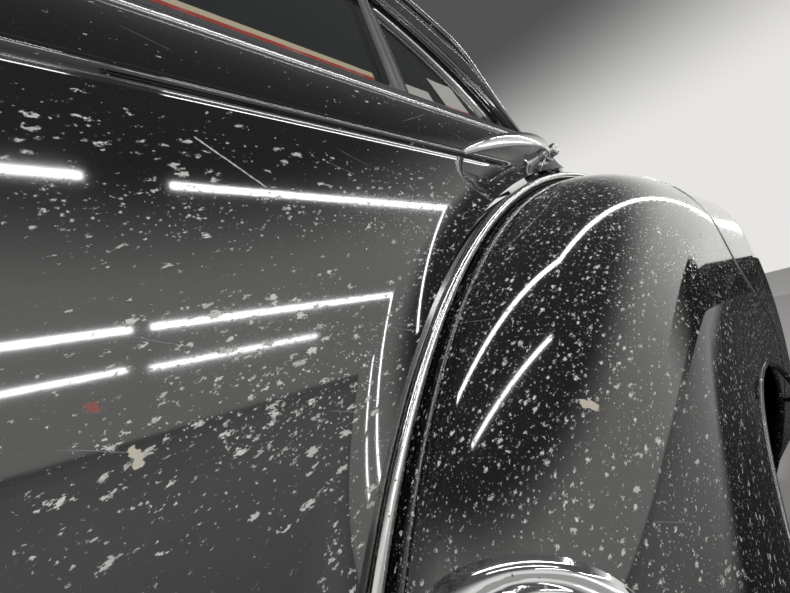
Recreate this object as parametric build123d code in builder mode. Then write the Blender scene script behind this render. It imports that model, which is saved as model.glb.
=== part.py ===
from build123d import *
import math
import os

# Rear side of a 1950s style black hot rod sedan: the left rear door, hung in its opening,
# and the fat rear fender beside it. Millimetres. +X runs to the rear of the car, -Y is
# outboard, +Z is up. The origin is the middle of the bolts under the sill.

# Driving dimensions: the wheel centre is the middle of every arc at the fender
WHEEL_X = 800.0
WHEEL_Z = 43.0
FENDER_R = 617.0        # front edge of the fender, where it meets the body
WELT = 3.0              # black strip between fender and bead
BEAD_W = 9.0            # bright half round bead on the joint
BEAD_CROWN = 15.0       # how far the bead stands out of the body side
SHUT_GAP = 8.0          # door to body
PANEL_Y = -80.0         # outer plane of the body side
BEAD_R = FENDER_R + WELT
PLATE_R = BEAD_R + BEAD_W
DOOR_R = PLATE_R + SHUT_GAP

# Door
DOOR_FRONT = -255.0
DOOR_BOTTOM = 62.0
DOOR_INNER_Y = -18.0
DOOR_BOTTOM_Y = -62.0
DOOR_MID = (-84.0, 380.0)
BELT_Z = 655.0
BELT_MID = BELT_Z + 9.7
BELT_HALF = 4.75
BELT_PROUD = 4.5
SILL_Z = 752.0
SILL_Y = -50.0
LEAN = 0.25             # inward lean of the window plane
FRAME_T = 32.0          # thickness of the upper door frame
ROOF_ARC = (290.0, 720.0)
DOOR_TOP_R = 424.0
FRAME_W = 34.0
DOOR_CORNER = 45.0
FLARE_W = 50.0          # raised lip of the door along the fender
FLARE_H = 10.0
CARD_T = 12.0
ARMREST = (280.0, 46.0, 52.0)      # length, height, depth
ARMREST_Z = 370.0

# Window
GLASS_T = 5.0
GLASS_IN = 12.0         # glass behind the frame's outer face
DAYLIGHT_R = DOOR_TOP_R - FRAME_W
BAR_FOOT = (460.0, 775.0)
BAR_LEAN = 54.0 / 242.0
BAR_W = 22.0
SEAL_W = 7.0

# Handle
HANDLE_FRONT = (475.0, 665.4)
HANDLE_LENGTH = 160.0
HANDLE_RISE = 3.0       # degrees
HANDLE_OUT = 44.0
HANDLE_TALL = 20.0
BOSS_R = 12.5
BUTTON_R = 8.0

# Body
SILL_HALF = 345.0
SILL_TOP = 52.0
SILL_OUT_Y = -45.0
SILL_IN_Y = 50.0
POST_X = -345.0
POST_W = 77.0
RAIL_DEEP = 46.0
PLATE_T = 8.0
JAMB_IN = 38.0          # width of the lock pillar, inside the joint
JAMB_IN_Y = 30.0
QUARTER_T = 10.0
TURN_X = 712.0          # where the body side begins to turn inward
TURN_CLEAR = 13.0       # from the panel's highest, innermost line to the axis it turns about
TURN = 26.0             # degrees
QUARTER_Z = WHEEL_Z + PLATE_R + 1
QUARTER_R = 525.0       # drip line, about the roof arc's centre
QUARTER_TAIL = 800.0    # height of the panel's rear end
RAIL_TOP = ROOF_ARC[1] + QUARTER_R
RAIL_HIGH = RAIL_TOP + 15
TURN_R = SILL_Y + LEAN * (RAIL_HIGH - SILL_Z) + QUARTER_T - PANEL_Y + TURN_CLEAR
RING_W = 30.0           # frame behind the quarter panel
DRIP_W = 9.0
DRIP_END = 37.0         # degrees, where the panel begins to turn inward
SEAM_X = 1020.0         # joint between the fender's two panels
TAIL_X = 1500.0
FENDER_DROP = 173.0     # the fender's top line falls by this much to the tail
FENDER_T = 5.0
FENDER_OUT = 131.0      # how far the fender stands out
FENDER_BOTTOM = 20.0
SIDE_ARC = 1000.0
OPENING_R = 288.0       # wheel opening, round the wheel centre
HOUSE_R = 430.0         # wheelhouse
HOUSE_T = 4.0
HOUSE_IN_Y = 90.0
GUARD_T = 3.0
GUARD_BAND = (FENDER_R - 82, FENDER_R - 6)
GUARD_TOP = 29.8        # degrees above the wheel centre, where the round top begins

# Hinges
HINGE_X = POST_X + POST_W
HINGE_Y = -62.0
HINGE_ZS = (170.0, 560.0)
HINGE_TALL = 60.0
KNUCKLE_R = 7.0
PIN_R = 3.0

# Sill bolts
BOLT_X = 280.0
BOLT_R = 5.5

# Tail lamp, Y and Z on the tail's end
LAMP = (-118.0, 330.0)

WHEEL_AXIS = Axis((WHEEL_X, 0, WHEEL_Z), (0, -1, 0))   # turns the top towards the front
TOP_PLANE = Plane(origin=(WHEEL_X, 0, WHEEL_Z), x_dir=(0, 1, 0), z_dir=(1, 0, 0))
TAIL_R = ((TAIL_X - SEAM_X) ** 2 + FENDER_DROP**2) / (2 * FENDER_DROP)
TAIL_CENTRE = (SEAM_X, WHEEL_Z + FENDER_R - TAIL_R)
TAIL_AXIS = Axis((SEAM_X, 0, TAIL_CENTRE[1]), (0, 1, 0))
TAIL_PLANE = Plane(origin=(SEAM_X, 0, TAIL_CENTRE[1]), x_dir=(0, 1, 0), z_dir=(1, 0, 0))
TAIL_TURN = math.degrees(math.asin((TAIL_X - SEAM_X) / TAIL_R))
GLASS_TOP = ROOF_ARC[1] + DOOR_TOP_R
DOOR_REAR = ROOF_ARC[0] + DOOR_TOP_R
HEAD = GLASS_TOP + 16
FAR = TAIL_X
CARD_Y = DOOR_INNER_Y + CARD_T


def window_y(z, inboard=0.0):
    """Y of the leaning window plane at height z."""
    return SILL_Y + LEAN * (z - SILL_Z) + inboard


def arc_x(radius, z, centre=(WHEEL_X, WHEEL_Z), side=-1):
    """X of a circle about centre at height z."""
    return centre[0] + side * math.sqrt(radius**2 - (z - centre[1]) ** 2)


def arc_z(radius, x, centre=(WHEEL_X, WHEEL_Z)):
    """Z of the top of a circle about centre at x."""
    return centre[1] + math.sqrt(radius**2 - (x - centre[0]) ** 2)


def on_arc(radius, degrees, centre=ROOF_ARC):
    """A point of a circle, counted up from the rear."""
    angle = math.radians(degrees)
    return (centre[0] + radius * math.cos(angle), centre[1] + radius * math.sin(angle))


def side_outline(fender_r, edge, floor):
    """Side view of the door, grown by edge, on the XZ plane."""
    top = DOOR_TOP_R + edge
    front = DOOR_FRONT - edge
    rear = ROOF_ARC[0] + top
    tip = (rear, arc_z(fender_r, rear))
    heel = (arc_x(fender_r, floor), floor)
    middle = 0.5 * (heel[1] + tip[1])
    with BuildSketch(Plane.XZ, mode=Mode.PRIVATE) as outline:
        with BuildLine():
            Polyline(heel, (front, floor), (front, ROOF_ARC[1] + top), (ROOF_ARC[0], ROOF_ARC[1] + top))
            ThreePointArc((ROOF_ARC[0], ROOF_ARC[1] + top), on_arc(top, 45), (rear, ROOF_ARC[1]))
            Line((rear, ROOF_ARC[1]), tip)
            ThreePointArc(tip, (arc_x(fender_r, middle), middle), heel)
        make_face()
        fillet(outline.vertices().group_by(Axis.Y)[-1].sort_by(Axis.X)[0], DOOR_CORNER + edge)
    return outline.sketch


def daylight(inset):
    """The window opening in the door, taken in by inset."""
    radius = DAYLIGHT_R - inset
    front = DOOR_FRONT + FRAME_W + 6 + inset
    low = SILL_Z + 6 + inset
    rear = (arc_x(radius, low, ROOF_ARC, 1), low)
    with BuildSketch(Plane.XZ, mode=Mode.PRIVATE) as opening:
        with BuildLine():
            Polyline(rear, (front, low), (front, ROOF_ARC[1] + radius), (ROOF_ARC[0], ROOF_ARC[1] + radius))
            ThreePointArc((ROOF_ARC[0], ROOF_ARC[1] + radius), on_arc(radius, 45), rear)
        make_face()
        fillet(opening.vertices().group_by(Axis.Y)[0].sort_by(Axis.X)[-1], 40 - inset)
        fillet(opening.vertices().group_by(Axis.Y)[-1].sort_by(Axis.X)[0], 30 - inset)
    return opening.sketch


def bar_region(left, right):
    """A band that leans with the division bar, from left to right of its middle."""
    low = SILL_Z - 30
    high = GLASS_TOP + 20
    foot = BAR_FOOT[0] + BAR_LEAN * (low - BAR_FOOT[1])
    head = BAR_FOOT[0] + BAR_LEAN * (high - BAR_FOOT[1])
    with BuildSketch(Plane.XZ, mode=Mode.PRIVATE) as band:
        with BuildLine():
            Polyline(
                (foot + left, low), (foot + right, low), (head + right, high), (head + left, high), close=True
            )
        make_face()
    return band.sketch


def leaning_slab(inboard, thick, low, high, x0, x1):
    """A slab parallel to the window plane, from x0 to x1."""
    with BuildPart(mode=Mode.PRIVATE) as slab:
        with BuildSketch(Plane.YZ.offset(x0)):
            with BuildLine():
                Polyline(
                    (window_y(low, inboard), low),
                    (window_y(low, inboard + thick), low),
                    (window_y(high, inboard + thick), high),
                    (window_y(high, inboard), high),
                    close=True,
                )
            make_face()
        extrude(amount=x1 - x0)
    return slab.part


def below(height, x=0.0):
    """A block under a height, to cut a part off level."""
    with BuildSketch(Plane.XZ, mode=Mode.PRIVATE) as under:
        with Locations((x, height - FAR / 2)):
            Rectangle(3 * FAR, FAR)
    return through(under.sketch)


def through(sketch):
    """Cuts sketch, drawn on XZ, right through the side of the body."""
    return extrude(sketch, amount=FAR, both=True, mode=Mode.PRIVATE)


def fender_curve(top, low, bulge=1.0):
    """Outer face of the fender in section, from its lower edge to the joint. Gives its lower end."""
    side_y = PANEL_Y - FENDER_OUT * bulge
    side = top - 147
    corner = (PANEL_Y - 78 * bulge, top - 34)
    drop = side - low
    flat = math.sqrt(SIDE_ARC**2 - drop**2)
    TangentArc((side_y + SIDE_ARC - flat, low), (side_y, side), tangent=(-drop, flat))
    shoulder = TangentArc((side_y, side), corner, tangent=(0, 1))
    TangentArc(corner, (PANEL_Y, top), tangent=shoulder % 1)
    return (side_y + SIDE_ARC - flat, low)


def fender_section(plane, top, low, bulge=1.0):
    """The fender's sheet in section."""
    with BuildSketch(plane, mode=Mode.PRIVATE) as section:
        with BuildLine():
            fender_curve(top, low, bulge)
            offset(amount=FENDER_T, side=Side.RIGHT)
        make_face()
    return section.sketch


def finish(piece, name):
    """Labels a finished piece and writes it."""
    piece.part.label = name
    export_step(piece.part, f"parts/{name}.step")


os.makedirs("parts", exist_ok=True)

# Door shell: skin, belt bead, flare along the fender and upper frame, with the window cut
with BuildPart() as door_shell:
    with BuildSketch(Plane.YZ.offset(DOOR_FRONT - 10)):
        with BuildLine():
            ThreePointArc((DOOR_BOTTOM_Y, DOOR_BOTTOM - 10), DOOR_MID, (PANEL_Y, BELT_Z))
            ThreePointArc((PANEL_Y, BELT_Z), (PANEL_Y + 8, BELT_Z + 60), (SILL_Y, SILL_Z))
            Polyline(
                (SILL_Y, SILL_Z),
                (window_y(HEAD), HEAD),
                (window_y(HEAD, FRAME_T), HEAD),
                (DOOR_INNER_Y, SILL_Z),
                (DOOR_INNER_Y, DOOR_BOTTOM - 10),
                (DOOR_BOTTOM_Y, DOOR_BOTTOM - 10),
            )
        make_face()
    extrude(amount=DOOR_REAR - DOOR_FRONT + 200)
    foot_y = PANEL_Y + 2
    with BuildSketch(Plane.YZ.offset(DOOR_FRONT - 10)):
        with BuildLine():
            ThreePointArc(
                (foot_y, BELT_MID - BELT_HALF),
                (PANEL_Y - BELT_PROUD, BELT_MID),
                (foot_y, BELT_MID + BELT_HALF),
            )
            Line((foot_y, BELT_MID + BELT_HALF), (foot_y, BELT_MID - BELT_HALF))
        make_face()
    extrude(amount=DOOR_REAR - DOOR_FRONT + 200)
    with BuildSketch(TOP_PLANE):
        with BuildLine():
            lip = PANEL_Y - FLARE_H
            ThreePointArc(
                (foot_y, DOOR_R + FLARE_W),
                (PANEL_Y - 0.25 * FLARE_H, DOOR_R + 0.4 * FLARE_W),
                (lip, DOOR_R - 1),
            )
            Polyline(
                (lip, DOOR_R - 1), (-40, DOOR_R - 1), (-40, DOOR_R + FLARE_W), (foot_y, DOOR_R + FLARE_W)
            )
        make_face()
    revolve(axis=WHEEL_AXIS, revolution_arc=105)
    add(through(side_outline(DOOR_R, 0, DOOR_BOTTOM)), mode=Mode.INTERSECT)
    add(through(daylight(0)), mode=Mode.SUBTRACT)
finish(door_shell, "door_shell")

# Bright moulding along the window sill, with a thin lip below it
with BuildPart() as sill_moulding:
    add(leaning_slab(-3.5, 5, SILL_Z - 12, SILL_Z + 15, DOOR_FRONT + 2, DOOR_REAR + 46))
    add(through(side_outline(DOOR_R, -2, DOOR_BOTTOM)), mode=Mode.INTERSECT)
    add(through(daylight(1)), mode=Mode.SUBTRACT)
    add(door_shell.part, mode=Mode.SUBTRACT)
finish(sill_moulding, "sill_moulding")

# Window: rubber channel round the opening, bar, main glass, vent frame and vent glass
# node, inboard, thickness, inset, left and right of the bar, inner inset
window_table = [
    ("window_seal", GLASS_IN - 5, GLASS_T + 10, 0, -2000, 2000, SEAL_W),
    ("division_bar", 2, GLASS_IN + GLASS_T + 6, SEAL_W, -BAR_W / 2, BAR_W / 2, None),
    ("door_glass", GLASS_IN, GLASS_T, SEAL_W, -2000, -BAR_W / 2, None),
    ("vent_frame", GLASS_IN - 3, GLASS_T + 6, SEAL_W, BAR_W / 2, 2000, SEAL_W + 6),
    ("vent_glass", GLASS_IN, GLASS_T, SEAL_W + 6, BAR_W / 2, 2000, None),
]
for name, inboard, thick, inset, left, right, inner in window_table:
    with BuildPart() as pane:
        add(leaning_slab(inboard, thick, SILL_Z - 20, GLASS_TOP, DOOR_FRONT, DOOR_REAR + 46))
        add(through(daylight(inset)), mode=Mode.INTERSECT)
        add(through(bar_region(left, right)), mode=Mode.INTERSECT)
        if inner:
            add(through(daylight(inner)), mode=Mode.SUBTRACT)
    finish(pane, name)

with BuildPart() as garnish_moulding:
    add(leaning_slab(FRAME_T, 6, SILL_Z + 2, GLASS_TOP - 8, DOOR_FRONT + 4, DOOR_REAR + 46))
    add(through(side_outline(DOOR_R, -18, DOOR_BOTTOM)), mode=Mode.INTERSECT)
    add(through(daylight(0)), mode=Mode.SUBTRACT)
    add(door_shell.part, mode=Mode.SUBTRACT)
finish(garnish_moulding, "garnish_moulding")

# Door inside: card, armrest, crank and lever, then the latch in the rear edge
with BuildPart() as door_card:
    with BuildSketch(Plane.XZ.offset(-CARD_Y)):
        add(side_outline(DOOR_R + 18, -18, DOOR_BOTTOM + 18))
        with Locations((DOOR_REAR, SILL_Z - 22 + FAR / 2)):
            Rectangle(3 * FAR, FAR, mode=Mode.SUBTRACT)
    extrude(amount=CARD_T)
finish(door_card, "door_card")

with BuildPart() as armrest:
    with BuildSketch(Plane.XZ.offset(-CARD_Y)):
        with Locations((arc_x(DOOR_R + 46, ARMREST_Z) - ARMREST[0] / 2, ARMREST_Z)):
            RectangleRounded(ARMREST[0], ARMREST[1], 20)
    extrude(amount=-ARMREST[2])
    chamfer(armrest.faces().sort_by(Axis.Y)[-1].edges(), 8)
finish(armrest, "armrest")

# node, distance from the door's curved edge, height, arm offset, knob
lever_table = [
    ("window_crank", 105.0, 500.0, 42.0, True),
    ("inner_lever", 49.0, 600.0, -38.0, False),
]
for name, inside, z, arm, knob in lever_table:
    x = arc_x(DOOR_R + inside, z)
    with BuildPart() as lever:
        with BuildSketch(Plane.XZ.offset(-CARD_Y)):
            with Locations((x, z)):
                Circle(18)
        extrude(amount=-16)
        with BuildSketch(Plane.XZ.offset(-CARD_Y - 16)):
            with Locations((x + arm, z)):
                SlotOverall(110, 16)
        extrude(amount=-6)
        if knob:
            with BuildSketch(Plane.XZ.offset(-CARD_Y - 22)):
                with Locations((x + arm + 44, z)):
                    Circle(10)
            extrude(amount=-26)
    finish(lever, name)

with BuildPart() as door_latch:
    with BuildSketch(Plane.YZ.offset(DOOR_REAR)):
        with Locations((-42, 698)):
            Rectangle(26, 34)
    extrude(amount=1.5)
finish(door_latch, "door_latch")

# Outer handle: the arched grip with the boss at its rear end, and the push button
slope = math.radians(HANDLE_RISE)
boss = (HANDLE_FRONT[0] + HANDLE_LENGTH * math.cos(slope), HANDLE_FRONT[1] + HANDLE_LENGTH * math.sin(slope))
handle_plane = Plane(
    origin=(HANDLE_FRONT[0], PANEL_Y, HANDLE_FRONT[1]),
    x_dir=(math.cos(slope), 0, math.sin(slope)),
    z_dir=(-math.sin(slope), 0, math.cos(slope)),
)
with BuildPart() as handle_grip:
    with BuildSketch(handle_plane.offset(-HANDLE_TALL / 2)):
        with BuildLine():
            ThreePointArc((-14, 3), (58, -HANDLE_OUT), (HANDLE_LENGTH, -27))
            Line((HANDLE_LENGTH, -27), (HANDLE_LENGTH, -12))
            ThreePointArc((HANDLE_LENGTH, -12), (64, -HANDLE_OUT + 10), (10, 3))
            Line((10, 3), (-14, 3))
        make_face()
    extrude(amount=HANDLE_TALL)
    with BuildSketch(Plane.XZ.offset(-PANEL_Y - 10)):
        with Locations(boss):
            Circle(BOSS_R)
    extrude(amount=38)
    with BuildSketch(Plane.XZ.offset(-PANEL_Y + 28)):
        with Locations(boss):
            Circle(BUTTON_R + 0.6)
    extrude(amount=20, mode=Mode.SUBTRACT)
    add(door_shell.part, mode=Mode.SUBTRACT)
finish(handle_grip, "handle_grip")

with BuildPart() as handle_button:
    with BuildSketch(Plane.XZ.offset(-PANEL_Y + 28)):
        with Locations(boss):
            Circle(BUTTON_R)
    extrude(amount=11)
    chamfer(handle_button.faces().sort_by(Axis.Y)[0].edges(), 1.5)
finish(handle_button, "handle_button")

# Sill with its bolt holes, scuff plate on top, centre post and roof rail
with BuildPart() as sill:
    with BuildSketch(Plane.YZ.offset(-SILL_HALF)):
        with BuildLine():
            Polyline(
                (SILL_OUT_Y, 0), (SILL_IN_Y, 0), (SILL_IN_Y, SILL_TOP), (SILL_OUT_Y, SILL_TOP), close=True
            )
        make_face()
    extrude(amount=2 * SILL_HALF)
    fillet(sill.edges().filter_by(Axis.X), 5)
    with BuildSketch(Plane.XY):
        with Locations((-BOLT_X, 0), (BOLT_X, 0)):
            Circle(BOLT_R)
    extrude(amount=34, mode=Mode.SUBTRACT)
finish(sill, "sill")

with BuildPart() as scuff_plate:
    with BuildSketch(Plane.XY.offset(SILL_TOP)):
        with Locations((-60, 4)):
            Rectangle(400, 74)
    extrude(amount=2)
finish(scuff_plate, "scuff_plate")

rail_low = GLASS_TOP + SHUT_GAP
with BuildPart() as centre_post:
    with BuildSketch(Plane.YZ.offset(POST_X)):
        with BuildLine():
            Polyline(
                (SILL_OUT_Y, SILL_TOP),
                (SILL_OUT_Y, SILL_Z - 20),
                (window_y(rail_low, 6), rail_low),
                (window_y(rail_low, 6 + RAIL_DEEP), rail_low),
                (36, SILL_Z - 20),
                (36, SILL_TOP),
                close=True,
            )
        make_face()
    extrude(amount=POST_W)
finish(centre_post, "centre_post")

with BuildPart() as roof_rail:
    add(leaning_slab(0, RAIL_DEEP + 8, rail_low, RAIL_TOP, POST_X, ROOF_ARC[0]))
finish(roof_rail, "roof_rail")

# Lock pillar along the fender's arc, and the plate that carries the fender and the wheelhouse
with BuildPart() as lock_pillar:
    with BuildSketch(TOP_PLANE):
        with BuildLine():
            Polyline(
                (PANEL_Y + PLATE_T, PLATE_R - JAMB_IN), (PANEL_Y + PLATE_T, PLATE_R),
                (JAMB_IN_Y, PLATE_R), (JAMB_IN_Y, PLATE_R - JAMB_IN), close=True,
            )
        make_face()
    revolve(axis=WHEEL_AXIS, revolution_arc=95)
    add(below(SILL_TOP), mode=Mode.SUBTRACT)
finish(lock_pillar, "lock_pillar")

tail_plate_r = TAIL_R + PLATE_R - FENDER_R
with BuildPart() as side_plate:
    with BuildSketch(Plane.XZ.offset(-PANEL_Y - PLATE_T)) as plate:
        with BuildLine():
            low = (arc_x(PLATE_R, FENDER_BOTTOM), FENDER_BOTTOM)
            crest = (WHEEL_X, WHEEL_Z + PLATE_R)
            seam = (SEAM_X, WHEEL_Z + PLATE_R)
            tail = (TAIL_X, arc_z(tail_plate_r, TAIL_X, TAIL_CENTRE))
            halfway = (SEAM_X + TAIL_X) / 2
            middle = (halfway, arc_z(tail_plate_r, halfway, TAIL_CENTRE))
            ThreePointArc(low, on_arc(PLATE_R, 140, (WHEEL_X, WHEEL_Z)), crest)
            Line(crest, seam)
            ThreePointArc(seam, middle, tail)
            Polyline(tail, (TAIL_X, FENDER_BOTTOM), low)
        make_face()
        with Locations((WHEEL_X, WHEEL_Z)):
            Circle(HOUSE_R, mode=Mode.SUBTRACT)
    extrude(amount=PLATE_T)
finish(side_plate, "side_plate")

with BuildPart() as wheelhouse:
    with BuildSketch(Plane.XZ.offset(-PANEL_Y - PLATE_T)):
        with Locations((WHEEL_X, WHEEL_Z)):
            Circle(HOUSE_R)
            Circle(HOUSE_R - HOUSE_T, mode=Mode.SUBTRACT)
        with Locations((WHEEL_X, FENDER_BOTTOM - FAR / 2)):
            Rectangle(FAR, FAR, mode=Mode.SUBTRACT)
    extrude(amount=-(HOUSE_IN_Y - PANEL_Y - PLATE_T))
    with BuildSketch(Plane.XZ.offset(-HOUSE_IN_Y)):
        with Locations((WHEEL_X, WHEEL_Z)):
            Circle(HOUSE_R)
            Circle(110, mode=Mode.SUBTRACT)
        with Locations((WHEEL_X, FENDER_BOTTOM - FAR / 2)):
            Rectangle(FAR, FAR, mode=Mode.SUBTRACT)
        with Locations((WHEEL_X, 0)):
            Rectangle(220, 100, mode=Mode.SUBTRACT)
    extrude(amount=-HOUSE_T)
finish(wheelhouse, "wheelhouse")

# Quarter panel: the door's section carried on, turned inward, and cut along the drip line
turned = math.radians(TURN)
turn_end = TURN_X + TURN_R * math.sin(turned)
with BuildPart() as quarter_panel:
    with BuildSketch(Plane.YZ.offset(ROOF_ARC[0])):
        with BuildLine():
            ThreePointArc((PANEL_Y, BELT_Z), (PANEL_Y + 8, BELT_Z + 60), (SILL_Y, SILL_Z))
            Polyline(
                (SILL_Y, SILL_Z),
                (window_y(RAIL_HIGH), RAIL_HIGH),
                (window_y(RAIL_HIGH, QUARTER_T), RAIL_HIGH),
                (SILL_Y + QUARTER_T, SILL_Z),
            )
            ThreePointArc(
                (SILL_Y + QUARTER_T, SILL_Z),
                (PANEL_Y + 8 + QUARTER_T, BELT_Z + 60),
                (PANEL_Y + QUARTER_T, BELT_Z),
            )
            Line((PANEL_Y + QUARTER_T, BELT_Z), (PANEL_Y, BELT_Z))
        make_face()
    extrude(amount=TURN_X - ROOF_ARC[0])
    turn_axis = Axis((TURN_X, PANEL_Y + TURN_R, 0), (0, 0, 1))
    end_face = quarter_panel.faces().sort_by(Axis.X)[-1]
    revolve(end_face, axis=turn_axis, revolution_arc=TURN)
    last = quarter_panel.faces().filter_by(GeomType.PLANE).filter_by(
        lambda f: abs(f.normal_at().X - math.cos(turned)) < 1e-3 and abs(f.normal_at().Z) < 1e-3
    )
    extrude(last.sort_by(Axis.X)[-1], amount=(SEAM_X - turn_end) / math.cos(turned) + 20)
    with BuildSketch(Plane.XZ, mode=Mode.PRIVATE) as cut:
        with BuildLine():
            inner_r = DOOR_TOP_R + SHUT_GAP
            door_x = ROOF_ARC[0] + inner_r
            Polyline((ROOF_ARC[0], ROOF_ARC[1] + QUARTER_R), (ROOF_ARC[0], ROOF_ARC[1] + inner_r))
            ThreePointArc((ROOF_ARC[0], ROOF_ARC[1] + inner_r), on_arc(inner_r, 45), (door_x, ROOF_ARC[1]))
            Polyline(
                (door_x, ROOF_ARC[1]), (door_x, QUARTER_Z), (SEAM_X, QUARTER_Z), (SEAM_X, QUARTER_TAIL),
                on_arc(QUARTER_R, 14),
            )
            ThreePointArc(
                on_arc(QUARTER_R, 14), on_arc(QUARTER_R, 50), (ROOF_ARC[0], ROOF_ARC[1] + QUARTER_R)
            )
        make_face()
    add(through(cut.sketch), mode=Mode.INTERSECT)
finish(quarter_panel, "quarter_panel")

# Frame behind the quarter panel, round the door's rear edge, and the shelf over the fender
with BuildPart() as rear_pillar:
    ring_end = DOOR_REAR + SHUT_GAP + RING_W + 60
    add(leaning_slab(QUARTER_T, 34, QUARTER_Z - 30, RAIL_TOP, ROOF_ARC[0], ring_end))
    with BuildSketch(Plane.XZ, mode=Mode.PRIVATE) as ring:
        with BuildLine():
            inner_r = DOOR_TOP_R + SHUT_GAP + 8
            door_x = ROOF_ARC[0] + inner_r
            Polyline((ROOF_ARC[0], ROOF_ARC[1] + inner_r + RING_W), (ROOF_ARC[0], ROOF_ARC[1] + inner_r))
            ThreePointArc((ROOF_ARC[0], ROOF_ARC[1] + inner_r), on_arc(inner_r, 45), (door_x, ROOF_ARC[1]))
            Polyline((door_x, ROOF_ARC[1]), (door_x, QUARTER_Z - 30), (door_x + RING_W, QUARTER_Z - 30),
                     (door_x + RING_W, ROOF_ARC[1]))
            ThreePointArc(
                (door_x + RING_W, ROOF_ARC[1]),
                on_arc(inner_r + RING_W, 45),
                (ROOF_ARC[0], ROOF_ARC[1] + inner_r + RING_W),
            )
        make_face()
    add(through(ring.sketch), mode=Mode.INTERSECT)
    add(quarter_panel.part, mode=Mode.SUBTRACT)
    add(lock_pillar.part, mode=Mode.SUBTRACT)
finish(rear_pillar, "rear_pillar")

with BuildPart() as quarter_shelf:
    turn_y = PANEL_Y + TURN_R * (1 - math.cos(turned)) + QUARTER_T - 2
    with BuildSketch(Plane.XY.offset(QUARTER_Z - 4)):
        with BuildLine():
            Polyline(
                (DOOR_REAR + SHUT_GAP, PANEL_Y + PLATE_T),
                (SEAM_X, PANEL_Y + PLATE_T),
                (SEAM_X, turn_y + (SEAM_X - turn_end) * math.tan(turned)),
                (turn_end, turn_y),
                (TURN_X + 30, PANEL_Y + PLATE_T + 2),
                (DOOR_REAR + SHUT_GAP, PANEL_Y + PLATE_T),
            )
        make_face()
    extrude(amount=4)
    add(lock_pillar.part, mode=Mode.SUBTRACT)
    add(rear_pillar.part, mode=Mode.SUBTRACT)
finish(quarter_shelf, "quarter_shelf")

# Fender: the front panel turns about the wheel centre and runs straight to the seam
with BuildSketch(Plane.XZ) as opening:
    with Locations((WHEEL_X, WHEEL_Z)):
        Circle(OPENING_R)
wheel_opening = opening.sketch
with BuildPart() as fender_front:
    to_foot = 90 + math.degrees(math.asin((WHEEL_Z - FENDER_BOTTOM) / FENDER_R))
    revolve(fender_section(TOP_PLANE, FENDER_R, OPENING_R), axis=WHEEL_AXIS, revolution_arc=to_foot)
    section = fender_section(Plane.YZ.offset(WHEEL_X), WHEEL_Z + FENDER_R, FENDER_BOTTOM)
    over_wheel = extrude(section, amount=SEAM_X - WHEEL_X, mode=Mode.PRIVATE)
    add(over_wheel - through(wheel_opening))
    add(side_plate.part, mode=Mode.SUBTRACT)
finish(fender_front, "fender_front")

# The rear panel tapers and falls to the tail, and is closed there by a cap
tail_sections = [(SEAM_X, 1.0), (1180.0, 0.94), (1340.0, 0.82), (TAIL_X, 0.62)]
with BuildPart() as fender_rear:
    loft([
        fender_section(Plane.YZ.offset(x), arc_z(TAIL_R, x, TAIL_CENTRE), FENDER_BOTTOM, bulge)
        for x, bulge in tail_sections
    ])
    with BuildSketch(Plane.YZ.offset(TAIL_X)):
        with BuildLine():
            tail_top = arc_z(TAIL_R, TAIL_X, TAIL_CENTRE)
            hem = fender_curve(tail_top, FENDER_BOTTOM, tail_sections[-1][1])
            Polyline((PANEL_Y, tail_top), (PANEL_Y, FENDER_BOTTOM), hem)
        make_face()
    extrude(amount=-FENDER_T)
    add(through(wheel_opening), mode=Mode.SUBTRACT)
    add(side_plate.part, mode=Mode.SUBTRACT)
finish(fender_rear, "fender_rear")

# Welt and bead follow the joint: round the front arc, straight over the wheel, down to the tail
# node, inner radius, width, height over the plate, half round
joint_table = [
    ("fender_welt", FENDER_R, WELT, 8.0, False),
    ("fender_bead", BEAD_R, BEAD_W, BEAD_CROWN, True),
]
for name, inner, width, proud, half_round in joint_table:
    with BuildPart() as strip:
        spans = [(TOP_PLANE, inner), (TAIL_PLANE, inner + TAIL_R - FENDER_R)]
        faces = []
        for plane, radius in spans:
            with BuildSketch(plane, mode=Mode.PRIVATE) as profile:
                with BuildLine():
                    if half_round:
                        shank = PANEL_Y - proud + width / 2
                        Polyline((shank, radius), (PANEL_Y, radius), (PANEL_Y, radius + width),
                                 (shank, radius + width))
                        ThreePointArc(
                            (shank, radius + width), (PANEL_Y - proud, radius + width / 2), (shank, radius)
                        )
                    else:
                        Polyline(
                            (PANEL_Y, radius), (PANEL_Y, radius + width),
                            (PANEL_Y - proud, radius + width), (PANEL_Y - proud, radius), close=True
                        )
                make_face()
            faces.append(profile.sketch)
        add(revolve(faces[0], axis=WHEEL_AXIS, revolution_arc=96, mode=Mode.PRIVATE))
        add(extrude(faces[0], amount=SEAM_X - WHEEL_X, mode=Mode.PRIVATE))
        add(revolve(faces[1], axis=TAIL_AXIS, revolution_arc=TAIL_TURN, mode=Mode.PRIVATE))
        add(below(FENDER_BOTTOM), mode=Mode.SUBTRACT)
    finish(strip, name)

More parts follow.
